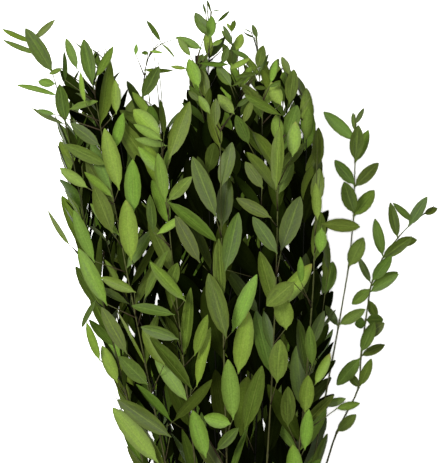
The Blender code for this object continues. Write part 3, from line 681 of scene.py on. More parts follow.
def grow_pair(shoot, distance, azimuth, draw, has_room, squeezes):
    """Two opposite leaves, each drawn again until it is in the outline and has room."""
    for turned in (azimuth, azimuth + math.pi):
        for squeeze in squeezes:
            leaf = drawn_leaf(shoot, distance, turned, draw, squeeze)
            tip, _ = leaf.frame_at(1.0)
            if within(tip) and has_room(shoot.solid, leaf):
                keep_leaf(shoot.solid, leaf)
                break


def measured_leaf(root, tip, shown, roll_side):
    """A leaf from root to tip. One that shows narrower than it is has turned its edge
    to the viewer."""
    reach = tip - root
    width = max(shown * PIXEL, SLIMMEST * reach.length)
    roll = math.copysign(math.acos(shown * PIXEL / width), roll_side)
    facing = Matrix.Rotation(roll, 3, reach) @ UP
    return Leaf(root, reach, facing, reach.length, width, MEASURED_CURL)


def followed_leaf(stem, root_v, tip_u, tip_v, shown, rise):
    """A leaf that grows from the stem in this row of the photograph."""
    distance = stem.distance_at_y(from_photo(0, root_v).y)
    axis, along = stem.at(distance)
    tip = from_photo(tip_u, tip_v, axis.z + rise * MM)
    away = square_to(along, tip - axis)
    return measured_leaf(stem.rooted(distance, away), tip, shown, rise)


def roof(point, side=1):
    """How high the stems reach here, as a roof that slopes away from each of them. On
    side -1, how low they reach."""
    heights = []
    for stem in stems:
        axis, _ = stem.at(stem.distance_at_y(point.y))
        away = (axis.xy - point.xy).length
        heights.append(side * axis.z - ROOF_SLOPE * away)
    return side * max(heights)


def within(point):
    """Whether a drawn leaf or side shoot may end here."""
    return in_outline(point) and point.z < roof(point) + DRAWN_RISE


def side_shoot(stem, from_tip, draw):
    """A thin shoot that leaves the stem and turns along with it."""
    distance = stem.length - from_tip
    _, along = stem.at(distance)
    right = square_to(along, RIGHT)
    turn = draw.uniform(0, math.tau)
    away = math.cos(turn) * right + math.sin(turn) * right.cross(along)
    length = SHOOT_LENGTH * draw.uniform(0.85, 1.15)
    root = stem.rooted(distance, away, 0.2)
    line = [
        root + length * (share * along + SHOOT_SWING * (1 - (1 - share) ** 2) * away)
        for share in (0.0, 0.3, 0.65, 1.0)
    ]
    return Shoot(stem.name, line, SHOOT_RADIUS, TIP_RADIUS, stem.tip_leaf)


def floor_leaf(stem, height, to_the_left):
    """A leaf that lies on the table, turned this many degrees to the left of its stem."""
    distance = stem.distance_at_y(height)
    _, along = stem.at(distance)
    level = Vector((along.x, along.y, 0)).normalized()
    heading = Matrix.Rotation(math.radians(to_the_left), 3, "Z") @ level
    root = stem.rooted(distance, square_to(along, heading))
    return FloorLeaf(root, heading, -UP, LEAF_LENGTH, LEAF_LENGTH * FLOOR_WIDTH, 0.0)


def grow_floor_leaf(stem, draw, tries=40):
    """The stem's leaf that lies on the table, turned until it crosses nothing."""
    height, to_the_left = FLOOR_LEAVES[stem.name]
    for attempt in range(tries):
        turned = draw.uniform(-1, 1) * attempt
        leaf = floor_leaf(stem, height, to_the_left + turned)
        if crowd.has_room_for(stem.name, leaf):
            keep_leaf(stem.name, leaf)
            return
    raise ValueError(f"{stem.name} has no room for its leaf on the table")


def leaf_twig(stem, leaf, climb):
    """A short straight twig from the stem to the root of the leaf."""
    foot, _ = stem.at(stem.distance_at_y(leaf.root.y - climb))
    end = leaf.root + TWIG_OVERLAP * leaf.heading
    return Shoot(stem.name, [foot, end], TWIG_RADIUS, TWIG_RADIUS)


def hosts_near(root):
    """The stems that could carry a leaf of the front here, the nearest first."""

    def farness(stem):
        point, _ = stem.at(stem.distance_at_y(root.y - HOST_DROP))
        return (point - root).length

    return sorted((stem for stem in stems if stem.name not in SHOOT_LEAVES), key=farness)


def grow_front_leaf(root_u, root_v, tip_u, tip_v, shown, draw, tries=24):
    """A leaf of the front on a twig of a stem close by, if there is room for both. The
    four nearest stems take turns, with four tries each."""
    root, tip = from_photo(root_u, root_v), from_photo(tip_u, tip_v)
    root.z, tip.z = roof(root), roof(tip)
    hosts = hosts_near(root)
    for attempt in range(tries):
        rise = draw.uniform(*FRONT_RISE) * UP
        leaf = measured_leaf(root + rise, tip + rise + FRONT_TIP_RISE * UP, shown, draw.uniform(-1, 1))
        twig = leaf_twig(hosts[attempt // 4 % 4], leaf, draw.uniform(*FRONT_CLIMB) * MM)
        if crowd.has_room_for(twig.solid, leaf) and crowd.has_room_for_twig(twig):
            keep_leaf(twig.solid, leaf)
            keep_shoot(twig)
            return


def grow_shoot(stem, draw, tries=20):
    """A side shoot and its leaves, if there is room for one."""
    for _ in range(tries):
        shoot = side_shoot(stem, draw.uniform(*SHOOT_FROM_TIP), draw)
        if within(shoot.line[-1]) and crowd.has_room_for_shoot(shoot):
            keep_shoot(shoot)
            for number, from_tip in enumerate(SHOOT_PAIRS_FROM_TIP):
                distance, azimuth = shoot.length - from_tip, number * math.pi / 2
                grow_pair(shoot, distance, azimuth, draw, crowd.has_room_for, SQUEEZES)
            return


def plan_foliage(draw):
    """Grows the side shoots, twigs and leaves that the solids have."""
    for stem in stems:
        crowd.add_shoot(stem)
    for stem in stems:
        for place in SHOOT_LEAVES.get(stem.name, ()):
            keep_leaf(stem.name, followed_leaf(stem, *place))
        if stem.name in FLOOR_LEAVES:
            grow_floor_leaf(stem, draw)
    for place in FRONT_LEAVES:
        grow_front_leaf(*place, draw)
    phases = {stem.name: draw.uniform(0, math.pi) for stem in stems}
    for stem in stems:
        if stem.name not in WAYPOINTS and draw.random() <= SHOOT_SHARE:
            grow_shoot(stem, draw)
    for number, from_tip in enumerate(PAIRS_FROM_TIP):
        for stem in stems:
            distance = stem.length - from_tip * draw.uniform(0.9, 1.1)
            azimuth = phases[stem.name] + number * math.pi / 2
            if is_leafy(stem, distance) and len(leaves[stem.name]) < LEAVES_A_STEM:
                grow_pair(stem, distance, azimuth, draw, crowd.has_room_for, SQUEEZES)


def is_leafy(stem, distance):
    """Whether drawn pairs may grow here: above the bare length, and on a followed stem
    below the leaves that have places of their own."""
    return stem.at(distance)[0].y > BARE_LENGTH and distance < lowest_set_leaf(stem)


def lowest_set_leaf(stem):
    """How far along the stem its drawn leaves end and those of the photograph begin."""
    rows = [place[0] for place in SHOOT_LEAVES.get(stem.name, ())]
    return stem.distance_at_y(from_photo(0, max(rows) + FREE_ROWS).y) if rows else stem.length

# %% [markdown]
# The plan gives back the same leaves that the solids have. Then more leaves go in
# where the real bunch has them: small ones in the crown, pairs halfway between the
# planned ones, and leaves that close the front. They come from a second row of random
# numbers, so that the first ones stay as they are.

# %% Grow the plan
crowd = Crowd()
leaves = {stem.name: [] for stem in stems}
shoots = {stem.name: [] for stem in stems}
plan_foliage(random.Random(SEED))
planned = how_many(leaves)
print("planned:", planned, "leaves and", how_many(shoots), "side shoots and twigs")

# %% [markdown]
# The tips of the crown stand against the light table, so each small leaf of it shows.
# These were measured in the photograph too, and are listed like those of the front.

# %% Grow the leaves of the crown
CROWN_LEAVES = (
    (63, 69, 50, 75, 6), (56, 115, 37, 110, 6), (78, 70, 66, 38, 10),
    (66, 82, 66, 52, 6), (70, 110, 98, 102, 8), (87, 105, 81, 74, 6),
    (117, 115, 116, 81, 11), (144, 71, 174, 73, 6), (136, 56, 137, 45, 5),
    (149, 54, 142, 54, 5), (150, 52, 163, 54, 4), (161, 43, 147, 20, 6),
    (161, 44, 176, 59, 3), (168, 147, 136, 140, 9), (206, 16, 203, 4, 3),
    (211, 13, 207, 0, 3), (211, 12, 222, 11, 2), (217, 23, 230, 12, 4),
    (207, 34, 198, 24, 7), (202, 50, 176, 38, 10), (191, 58, 178, 39, 8),
    (187, 70, 171, 68, 5), (199, 65, 228, 68, 5), (231, 88, 217, 68, 12),
    (222, 66, 228, 48, 8), (212, 47, 222, 42, 6), (232, 45, 223, 27, 6),
    (231, 50, 217, 33, 8), (257, 40, 252, 26, 6), (252, 34, 244, 30, 2),
    (255, 39, 243, 34, 2), (259, 74, 268, 55, 5), (250, 60, 232, 52, 6),
    (229, 71, 250, 60, 7), (258, 75, 236, 79, 6), (232, 88, 249, 77, 5),
    (270, 85, 276, 61, 8), (289, 77, 281, 58, 8), (268, 89, 279, 85, 5),
    (266, 90, 254, 90, 5), (236, 109, 250, 98, 6), (210, 116, 199, 98, 9),
    (200, 103, 189, 93, 7), (296, 122, 309, 97, 4),
)  # fmt: skip
# And leaves of the far right shoot, which are too close together for the solids.
MORE_SHOOT_LEAVES = (
    (292, 398, 274, 11, 6), (300, 377, 319, 10, -5), (338, 384, 323, 13, 5), (347, 381, 352, 10, -6),
)  # fmt: skip


def grow_crown(draw):
    for place in CROWN_LEAVES:
        grow_front_leaf(*place, draw)
    far_right = next(stem for stem in stems if stem.name == FAR_RIGHT_SHOOT)
    for place in MORE_SHOOT_LEAVES:
        leaf = followed_leaf(far_right, *place)
        if crowd.lets_in(FAR_RIGHT_SHOOT, leaf):
            keep_leaf(FAR_RIGHT_SHOOT, leaf)


extra_draw = random.Random(SEED + 1)
grow_crown(extra_draw)
crowned = how_many(leaves)
print("leaves of the crown and the far right shoot:", crowned - planned)

# %% [markdown]
# Between the planned pairs of each stem and side shoot, a real one has another pair.

# %% Grow the leaves between
BETWEEN_PAIRS = [d * MM for d in (12, 37, 72, 114, 159, 206, 255, 306, 352)]
SHOOT_BETWEEN_PAIRS = [d * MM for d in (11, 35, 66)]
BETWEEN_SQUEEZES = [1 - 0.02 * attempt for attempt in range(14)]


def grow_pairs_between(draw):
    for from_tip in BETWEEN_PAIRS:
        for stem in stems:
            distance = stem.length - from_tip * draw.uniform(0.92, 1.08)
            azimuth = draw.uniform(0, math.tau)
            if is_leafy(stem, distance):
                grow_pair(stem, distance, azimuth, draw, crowd.lets_in, BETWEEN_SQUEEZES)
    for shoot in [shoot for group in shoots.values() for shoot in group if shoot.tip_leaf]:
        for number, from_tip in enumerate(SHOOT_BETWEEN_PAIRS):
            distance, azimuth = shoot.length - from_tip, math.pi / 4 + number * math.pi / 2
            grow_pair(shoot, distance, azimuth, draw, crowd.lets_in, BETWEEN_SQUEEZES)


grow_pairs_between(extra_draw)
paired = how_many(leaves)
print("leaves between:", paired - crowned, "in all:", paired)

# %% [markdown]
# A real bunch is so dense that no light comes through it below the crown. The last
# leaves therefore grow where a viewer could still see the table: a flat grid of cells
# keeps what the leaves cover, and each bare cell gets a leaf from a stem close by.

# %% Grow the leaves that close the gaps
CELL = 1.1 * MM
TRIM = 0.25 * MM  # off each side of the plain blade, when it is drawn finely
GAP_ROUNDS = 3
GAP_TRIES = 16
GAP_HOSTS = 7  # stems that are tried for a leaf
GAP_CLIMB = (9, 30)  # mm from such a leaf's root up to the spot
GAP_LENGTHS = (0.6 * LEAF_LENGTH, 1.1 * LEAF_LENGTH)
GAP_WIDTHS = (0.25, 0.31)  # as a share of its length
WIDEST_ANGLE = math.radians(60)  # between it and its stem
MARGIN, CROWN_MARGIN = 4 * MM, 14 * MM  # kept bare along the outline, and more by the crown
LOOSE_EDGE = 12 * MM  # and still more at the upper right edge
UNDER_SKYLINE = 25  # rows below it in which the table may show


def cell_at(point):
    return round(point.x / CELL), round(point.y / CELL)


def cells_under(leaf):
    """The cells that the leaf covers."""
    cells = set()
    for i in range(2, 40):
        point, _ = leaf.frame_at(i / 40)
        reach = leaf.side * (leaf.half_width(i / 40) - TRIM)
        cells |= {cell_at(point + reach * share / 5) for share in range(-5, 6)}
    return cells


def bare_cells(covered):
    """The cells of the bunch where the table would show. It may show in the crown and,
    here and there, at the upper right edge."""
    bare = []
    for row in range(math.floor(BARE_LENGTH / CELL), round(from_photo(0, 90).y / CELL)):
        v = TIE_V - row * CELL / PIXEL
        left, right = ((u - TIE_U) * PIXEL for u in between(OUTLINE, v))
        margin = MARGIN + CROWN_MARGIN * ramp((160 - v) / 80)
        loose = margin + LOOSE_EDGE * ramp((300 - v) / 100)
        columns = range(math.ceil((left + margin) / CELL), math.floor((right - loose) / CELL))
        bare += [
            (column, row) for column in columns
            if (column, row) not in covered
            and v > between(SKYLINE, column * CELL / PIXEL + TIE_U)[0] + UNDER_SKYLINE
        ]
    return bare


def leaf_over(stem, spot, draw):
    """A leaf of this stem that covers the spot, unless it would be too long for its kind
    or stand out too far to the side."""
    distance = stem.distance_at_y(spot.y - draw.uniform(*GAP_CLIMB) * MM)
    axis, along = stem.at(distance)
    target = Vector((spot.x, spot.y, axis.z + draw.uniform(-9, 9) * MM))
    reach = target - axis
    length = max(reach.length / draw.uniform(0.45, 0.7), GAP_LENGTHS[0])
    if reach.angle(along) > WIDEST_ANGLE or length > GAP_LENGTHS[1]:
        return None
    root = stem.rooted(distance, square_to(along, reach))
    facing = Matrix.Rotation(math.radians(draw.gauss(0, 30)), 3, reach) @ UP
    width = length * draw.uniform(*GAP_WIDTHS)
    return Leaf(root, target - root, facing, length, width, draw.uniform(-0.1, 0.3))


def close_gap(spot, draw):
    """Tries stems near the spot, the low ones first, and gives back the leaf."""
    near = []
    for stem in stems:
        root, _ = stem.at(stem.distance_at_y(spot.y - 20 * MM))
        if stem.name not in SHOOT_LEAVES and stem.tip.y > spot.y:
            near.append((abs(root.x - spot.x) + 0.35 * root.z, stem.name, stem))
    near = [stem for _, _, stem in sorted(near)[:GAP_HOSTS]]
    for _ in range(GAP_TRIES if near else 0):
        stem = draw.choice(near)
        leaf = leaf_over(stem, spot, draw)
        if leaf and within(leaf.frame_at(1.0)[0]) and crowd.lets_in(stem.name, leaf):
            keep_leaf(stem.name, leaf)
            return leaf
    return None


def close_gaps(draw):
    covered = set().union(*(cells_under(leaf) for group in leaves.values() for leaf in group))
    for _ in range(GAP_ROUNDS):
        bare = bare_cells(covered)
        print("bare cells:", len(bare))
        draw.shuffle(bare)
        for column, row in bare:
            if (column, row) not in covered:
                leaf = close_gap(Vector((column * CELL, row * CELL, 0)), draw)
                covered |= cells_under(leaf) if leaf else set()
    print("bare cells left:", len(bare_cells(covered)))


close_gaps(extra_draw)
total = how_many(leaves)
print("leaves over the gaps:", total - paired, "in all:", total)

# %% [markdown]
# A dried leaf is a thin, leathery blade: a long ellipse with a short stalk, folded a
# little along its midrib, slightly wavy and sometimes twisted. It could be painted on
# a flat card, but its edge and fold catch the light, so each one is a grid of 16 faces
# that is shaped by its own arc and then given a thickness. Every corner keeps four
# numbers for the materials: how far across and along it is, the leaf's own tone, and
# how open its place is. That last one is painted light: in the crowded middle it paints
# the leaves nearly black, as painted shade for the dark gaps that such a bunch has.

# %% Shape of a fine leaf
COLUMNS = 2
ROWS = (-0.01, 0.07, 0.17, 0.33, 0.52, 0.71, 0.87, 0.96, 1.0)
BLADE_THICKNESS = 0.3 * MM
PLACE, PAINTED_LIGHT = "across_along_tone", "openness"
BARK, UPPER, UNDER, SHADED, CUT_WOOD = range(5)
# The painted shade of the crowded middle is darkest this far below the outermost stems.
PAINTED_SHADE_DEPTH = 20 * MM  # below the outermost stems, where it is darkest
# Below this painted light a leaf gets the darker, matt copy of its material, as painted shade.
PAINTED_SHADE_COPY_BELOW = 0.3  # of the openness
TURNED_OVER = 0.1  # share of the leaves
SUNK = 0.3 * MM  # by which a fine leaf on the table lies lower than its plain one


class Look:
    """What makes one leaf differ from the next."""

    def __init__(self, leaf, draw, painted_shade_scale):
        on_floor = isinstance(leaf, FloorLeaf)
        middle, _ = leaf.frame_at(0.55)
        self.tone = painted_shade_scale * tone_of(leaf, draw.random() ** 1.5)
        self.fold = 0.05 if on_floor else draw.uniform(0.1, 0.42)
        self.twist = 0.0 if on_floor else draw.gauss(0, 0.16)
        self.wave = 0.0 if on_floor else draw.uniform(0.0, 0.09)
        self.phase = draw.random()
        self.turned_over = not on_floor and draw.random() < TURNED_OVER
        # The leaf's painted light, one value for the whole leaf: low values paint it dark as shade.
        self.openness = openness(middle, draw.gauss(0, 0.07))


def tone_of(leaf, drawn):
    """From 0 for an old leaf to 1 for a fresh one. Some were noted in the photograph."""
    u, v = to_photo(leaf.root)
    root = round(u), round(v)
    if root in FRESH_LEAVES:
        return 0.75 + 0.25 * drawn
    return 0.3 * drawn if root in OLD_LEAVES else drawn


def openness(point, luck=0.0):
    """How much painted light a place gets: from 0 in the crowded middle of the bunch, where
    the painted shade is nearly black, to 1 on its outside. The crown and the bare stems are
    open all through, and the sides half."""
    u, v = to_photo(point)
    below_skyline = v - between(SKYLINE, u)[0]
    left, right = between(OUTLINE, v)
    across = abs(u - (left + right) / 2) / ((right - left) / 2)
    cover = min(roof(point) - point.z, point.z - roof(point, -1))
    depth = max(0.0, 1 - cover / PAINTED_SHADE_DEPTH)
    crown = 0.6 * ramp(1.2 - below_skyline / 75)
    bare_stems = ramp((v - 500) / 120)
    sides = 0.45 * ramp((across - 0.75) / 0.3)
    return ramp((depth + (crown + bare_stems + sides) + luck - 0.55) / 0.5)


def blade_point(leaf, look, across, t):
    point, normal = leaf.frame_at(t)
    half = leaf.half_width(t) - TRIM
    turn = look.twist * t
    side = math.cos(turn) * leaf.side + math.sin(turn) * normal
    up = math.cos(turn) * normal - math.sin(turn) * leaf.side
    wave = look.wave * math.sin(math.tau * (1.6 * t + look.phase) + 2 * across)
    rise = (look.fold * (abs(across) - 0.4) + wave * abs(across)) * half
    return point + side * across * half + up * (rise + BLADE_THICKNESS / 2)


def add_blade(mesh, leaf, look):
    place = mesh.verts.layers.float_vector[PLACE]
    painted_light_layer = mesh.verts.layers.float[PAINTED_LIGHT]
    grid = bmesh.ops.create_grid(mesh, x_segments=COLUMNS, y_segments=len(ROWS) - 1, size=1)
    first_side = set(grid["verts"])
    for vert in grid["verts"]:
        across = vert.co.x
        t = ROWS[round((vert.co.y + 1) / 2 * (len(ROWS) - 1))]
        vert[place] = (across, t, look.tone)
        vert.co = blade_point(leaf, look, across, t)
        # Every corner keeps the leaf's painted light, which the materials turn into painted shade.
        vert[painted_light_layer] = look.openness
    faces = {face for vert in first_side for face in vert.link_faces}
    walled = bmesh.ops.solidify(mesh, geom=list(faces), thickness=BLADE_THICKNESS)
    corners = first_side | {item for item in walled["geom"] if isinstance(item, bmesh.types.BMVert)}
    if isinstance(leaf, FloorLeaf):
        for vert in corners:
            vert.co.z = max(vert.co.z - SUNK, 0.0)
    paint_blade({face for vert in corners for face in vert.link_faces}, first_side, look)


def paint_blade(faces, first_side, look):
    """Upper side, underside and rim of one leaf."""
    for face in faces:
        on_first = sum(vert in first_side for vert in face.verts)
        rim = 0 < on_first < len(face.verts)
        shown_up = (on_first > 0) != look.turned_over
        face.material_index = UPPER if shown_up and not rim else UNDER
        # A leaf with little painted light takes the darker, matt copy: painted shade.
        if look.openness < PAINTED_SHADE_COPY_BELOW:
            face.material_index = SHADED
        shade_smooth(face, not rim)


def shade_smooth(face, smooth):
    """A face that isn't smooth gets sharp edges."""
    face.smooth = smooth
    for edge in face.edges if not smooth else ():
        edge.smooth = False

# %% [markdown]
# The stems are thin twigs, about 3 mm thick at the cut and much slimmer among the
# leaves, with a slight swelling where each pair grows. A curve with a round section
# gives such a twig directly, and the line is sampled finely and rounded at its bends.
# The short twigs that carry the leaves of the front are made the same way.

# %% Shape of a fine stem
TWIG_STEP = 9 * MM
ROUNDING = 7 * MM
SWELLING = 1.6 * MM
LEAST_SPACE = 0.6 * MM  # between two rings of the tube
PLAINNESS = 0.86  # of the plain radius, away from the swellings
SWOLLEN, SLIMMED = 0.3, 0.32  # more at a swelling, and less among the leaves


class Twig(Shoot):
    """A stem or side shoot with round bends, swollen where its leaves grow."""

    def __init__(self, shoot, grown):
        self.shoot = shoot
        self.joints = sorted(shoot.distance_at_y(leaf.root.y) for leaf in grown)
        steps = math.ceil(shoot.length / TWIG_STEP)
        places = {shoot.length * i / steps for i in range(steps + 1)}
        for joint in self.joints:
            places |= {joint - SWELLING, joint, joint + SWELLING}
        inside = [place for place in places if 0 <= place <= shoot.length]
        line = [self.rounded(place) for place in spaced(inside)]
        super().__init__(shoot.solid, line, shoot.root_radius, shoot.tip_radius)

    def rounded(self, place):
        """The mean of the line's points around this place."""
        reach = min(ROUNDING, place, self.shoot.length - place)
        points = [self.shoot.at(place + reach * share)[0] for share in (-1, -0.5, 0, 0.5, 1)]
        return sum(points, Vector()) / len(points)

    def radius_at(self, distance):
        nearest = min((abs(distance - joint) for joint in self.joints), default=1.0)
        swollen = PLAINNESS + SWOLLEN * math.exp(-((nearest / SWELLING) ** 2))
        swollen -= SLIMMED * ramp((distance / self.length - 0.25) / 0.3)
        return self.shoot.radius_at(distance) * swollen


def spaced(places):
    """The places in order, without those that crowd one another."""
    kept = []
    for place in sorted(places):
        if not kept or place - kept[-1] > LEAST_SPACE:
            kept.append(place)
    return kept


def add_twig(mesh, twig, sides, tone):
    tube = tube_mesh(twig, sides)
    place = tube.verts.layers.float_vector.new(PLACE)
    painted_light_layer = tube.verts.layers.float.new(PAINTED_LIGHT)
    low, high = twig.line[0].y, twig.line[-1].y
    for vert in tube.verts:
        vert[place] = (0, (vert.co.y - low) / (high - low), tone)
        # Painted light for the stems too: in the crowded middle their bark is painted dark as shade.
        vert[painted_light_layer] = openness(vert.co)
    for face in tube.faces:
        end = len(face.verts) > 4
        cut = end and face.calc_center_median().y < 0
        face.material_index = CUT_WOOD if cut else BARK
        shade_smooth(face, not end)
    holder = bpy.data.meshes.new("twig")
    tube.to_mesh(holder)
    tube.free()
    mesh.from_mesh(holder)
    bpy.data.meshes.remove(holder)

# %% [markdown]
# A material is a small net of nodes. One function adds a node with its settings and
# its links, so each material below reads as a list of what it is made of. Colours are
# written as the sRGB hex values that a colour picker shows, and turned to the linear
# numbers that Blender works with.

# %% Helpers for materials
# The painted shade of the crowded middle leaves this share of the colour at its darkest.
DARKEST_PAINTED_SHADE = 0.04  # share of its colour that the darkest place keeps


def linear(hex_colour):
    shares = [int(hex_colour[i : i + 2], 16) / 255 for i in (1, 3, 5)]
    return tuple(s / 12.92 if s <= 0.04045 else ((s + 0.055) / 1.055) ** 2.4 for s in shares)


def new_material(name):
    material = bpy.data.materials.new(name)
    material.use_nodes = True
    return material, material.node_tree, material.node_tree.nodes["Principled BSDF"]


def fill(tree, node, inputs):
    """Sets inputs. Each is a value, a hex colour, a socket, or a node to read from."""
    for name, value in inputs.items():
        if isinstance(value, bpy.types.Node):
            value = value.outputs[2 if value.type == "MIX" else 0]
        if isinstance(value, bpy.types.NodeSocket):
            tree.links.new(value, node.inputs[name])
        elif isinstance(value, str):
            node.inputs[name].default_value = (*linear(value), 1.0)
        else:
            node.inputs[name].default_value = value


def add(tree, kind, inputs, **settings):
    """Adds a node with its settings and its links."""
    made = tree.nodes.new("ShaderNode" + kind)
    for name, value in settings.items():
        setattr(made, name, value)
    fill(tree, made, inputs)
    return made


def painted_shade_share(tree):
    """The share of its colour that a place keeps under the painted shade, by how open it is."""
    open_there = add(tree, "Attribute", {}, attribute_name=PAINTED_LIGHT).outputs["Fac"]
    return add(tree, "MapRange", {"Value": open_there, 1: 0.0, 2: 1.0, 3: DARKEST_PAINTED_SHADE, 4: 1.0})

# %% [markdown]
# The leaf is preserved eucalyptus: leathery, with a thin wax that gives it a satin
# gloss. From leaf to leaf the green runs from deep olive to fresh, some a little more
# yellow than others, and along a leaf it is streaked. A pale midrib, faint side veins,
# a dark olive rim, and brown on a few dried tips make it a leaf at a close look. All of it
# reads the numbers that each corner keeps, so the veins follow every bend of the blade.

# %% Preserved leaf
VEINS = 15  # side veins, half of them on each side, about 6 mm apart on a full-grown leaf
VEIN_LEAN = -2.6  # a side vein has risen by 2.6 / 15 of the leaf where it meets the rim
VEIN_EDGE = 0.28  # a side vein has faded out here, where 1 is the middle of the gap
MIDRIB_EDGE = (0.02, 0.09)  # the midrib fades out here, in half widths of the leaf
RIM_EDGE = (0.35, 1.05)  # the rim comes in here, in half widths too
RIM = "#323C10"
HUES = (0.482, 0.516)  # 0.5 leaves the hue as it is
STREAKS = (3.2, 1.5, 60.0)  # about 1.3 mm wide and 19 mm long, and new on each leaf
# The real specks are oil glands 0.2 mm across. They are drawn coarser, or none would show.
SPECKS = 0.9 / MM


def leaf_material(name, deep, fresh, rib, dry, roughness, gloss_level):
    material, tree, shader = new_material(name)
    place = add(tree, "Attribute", {}, attribute_name=PLACE).outputs["Vector"]
    across, along, tone = add(tree, "SeparateXYZ", {0: place}).outputs
    from_rib = add(tree, "Math", {0: across}, operation="ABSOLUTE")
    spread = add(tree, "VectorMath", {0: place, 1: STREAKS}, operation="MULTIPLY")
    streaks = add(tree, "TexNoise", {"Vector": spread, "Scale": 1.6, "Detail": 3.0})
    whole = add(tree, "TexCoord", {}).outputs["Object"]
    specks = add(tree, "TexNoise", {"Vector": whole, "Scale": SPECKS, "Detail": 1.0})
    midrib = add(tree, "MapRange",
                 {"Value": from_rib, 1: MIDRIB_EDGE[0], 2: MIDRIB_EDGE[1], 3: 1.0, 4: 0.0},
                 interpolation_type="SMOOTHSTEP")
    lean = add(tree, "Math", {0: from_rib, 1: VEIN_LEAN}, operation="MULTIPLY")
    row = add(tree, "Math", {0: along, 1: float(VEINS), 2: lean}, operation="MULTIPLY_ADD")
    wave = add(tree, "Math", {0: row, 1: 1.0}, operation="PINGPONG")
    veins = add(tree, "MapRange", {"Value": wave, 1: 0.0, 2: VEIN_EDGE, 3: 1.0, 4: 0.0},
                interpolation_type="SMOOTHSTEP")
    edge = add(tree, "MapRange", {"Value": from_rib, 1: RIM_EDGE[0], 2: RIM_EDGE[1], 3: 0.0, 4: 0.62},
               interpolation_type="SMOOTHSTEP")
    mixed = add(tree, "Math", {0: streaks, 1: 0.9, 2: -0.45}, operation="MULTIPLY_ADD")
    shade = add(tree, "Math", {0: tone, 1: mixed}, operation="ADD", use_clamp=True)
    body = add(tree, "Mix", {0: shade, 6: deep, 7: fresh}, data_type="RGBA")
    speck = add(tree, "MapRange", {"Value": specks, 1: 0.35, 2: 0.7, 3: 0.86, 4: 1.1})
    speckled = add(tree, "Mix", {0: 1.0, 6: body, 7: speck}, data_type="RGBA", blend_type="MULTIPLY")
    faint = add(tree, "Math", {0: veins, 1: 0.05}, operation="MULTIPLY")
    veined = add(tree, "Mix", {0: faint, 6: speckled, 7: rib}, data_type="RGBA")
    thin = add(tree, "Math", {0: midrib, 1: 0.22}, operation="MULTIPLY")
    ribbed = add(tree, "Mix", {0: thin, 6: veined, 7: rib}, data_type="RGBA")
    rimmed = add(tree, "Mix", {0: edge, 6: ribbed, 7: RIM}, data_type="RGBA")
    chance = add(tree, "TexWhiteNoise", {"W": tone}, noise_dimensions="1D")
    hue = add(tree, "MapRange", {"Value": chance, 1: 0.0, 2: 1.0, 3: HUES[0], 4: HUES[1]})
    varied = add(tree, "HueSaturation", {"Hue": hue, "Saturation": 0.97, "Color": rimmed})
    to_tip = add(tree, "Math", {0: along, 1: 0.5, 2: tone}, operation="MULTIPLY_ADD")
    uneven = add(tree, "Math", {0: streaks, 1: 0.5, 2: to_tip}, operation="MULTIPLY_ADD")
    dried = add(tree, "MapRange", {"Value": uneven, 1: 1.62, 2: 1.8, 3: 0.0, 4: 0.85},
                interpolation_type="SMOOTHSTEP")
    coloured = add(tree, "Mix", {0: dried, 6: varied, 7: dry}, data_type="RGBA")
    # Painted shade: the colour is darkened by how open the place is, nearly black in the crowded
    # middle.
    colour = add(tree, "Mix", {0: 1.0, 6: coloured, 7: painted_shade_share(tree)},
                 data_type="RGBA", blend_type="MULTIPLY")
    gloss = add(tree, "MapRange",
                {"Value": streaks, 1: 0.3, 2: 0.7, 3: roughness - 0.06, 4: roughness + 0.1})
    sunk = add(tree, "Math", {0: midrib, 1: -1.5, 2: veins}, operation="MULTIPLY_ADD")
    height = add(tree, "Math", {0: streaks, 1: 1.2, 2: sunk}, operation="MULTIPLY_ADD")
    bump = add(tree, "Bump", {"Height": height, "Strength": 0.2, "Distance": 0.12 * MM})
    fill(tree, shader, {"Base Color": colour, "Roughness": gloss, "Normal": bump,
                        "Specular IOR Level": gloss_level})
    return material


upper_side = leaf_material(
    "preserved_leaf_upper_side", "#263108", "#4D6419", "#5E6C2A", "#574924", 0.5, 0.08
)
underside = leaf_material(
    "preserved_leaf_underside", "#2C380C", "#4C5F1F", "#5E6E2E", "#5C502C", 0.6, 0.05
)
# Leaves of the crowded middle get this darker, matt copy of the leaf material: painted shade.
painted_shade_leaf = leaf_material(
    "waxless_shaded_leaf", "#222C08", "#445816", "#4E5A24", "#4C4020", 0.8, 0.0
)
print("leaf materials:", upper_side.name, underside.name, painted_shade_leaf.name)

# %% [markdown]
# The bark of a young twig is thin and smooth: grey-brown where it was cut and olive
# towards the tip, with fine furrows along it. The cut itself shows pale dry wood.

# %% Twig bark and cut wood
FURROWS = (1.4 / MM, 0.09 / MM, 1.4 / MM)  # about 0.7 mm wide and 11 mm long
PORES = 2.2 / MM  # about 0.45 mm apart, coarser than real pores, or none would show


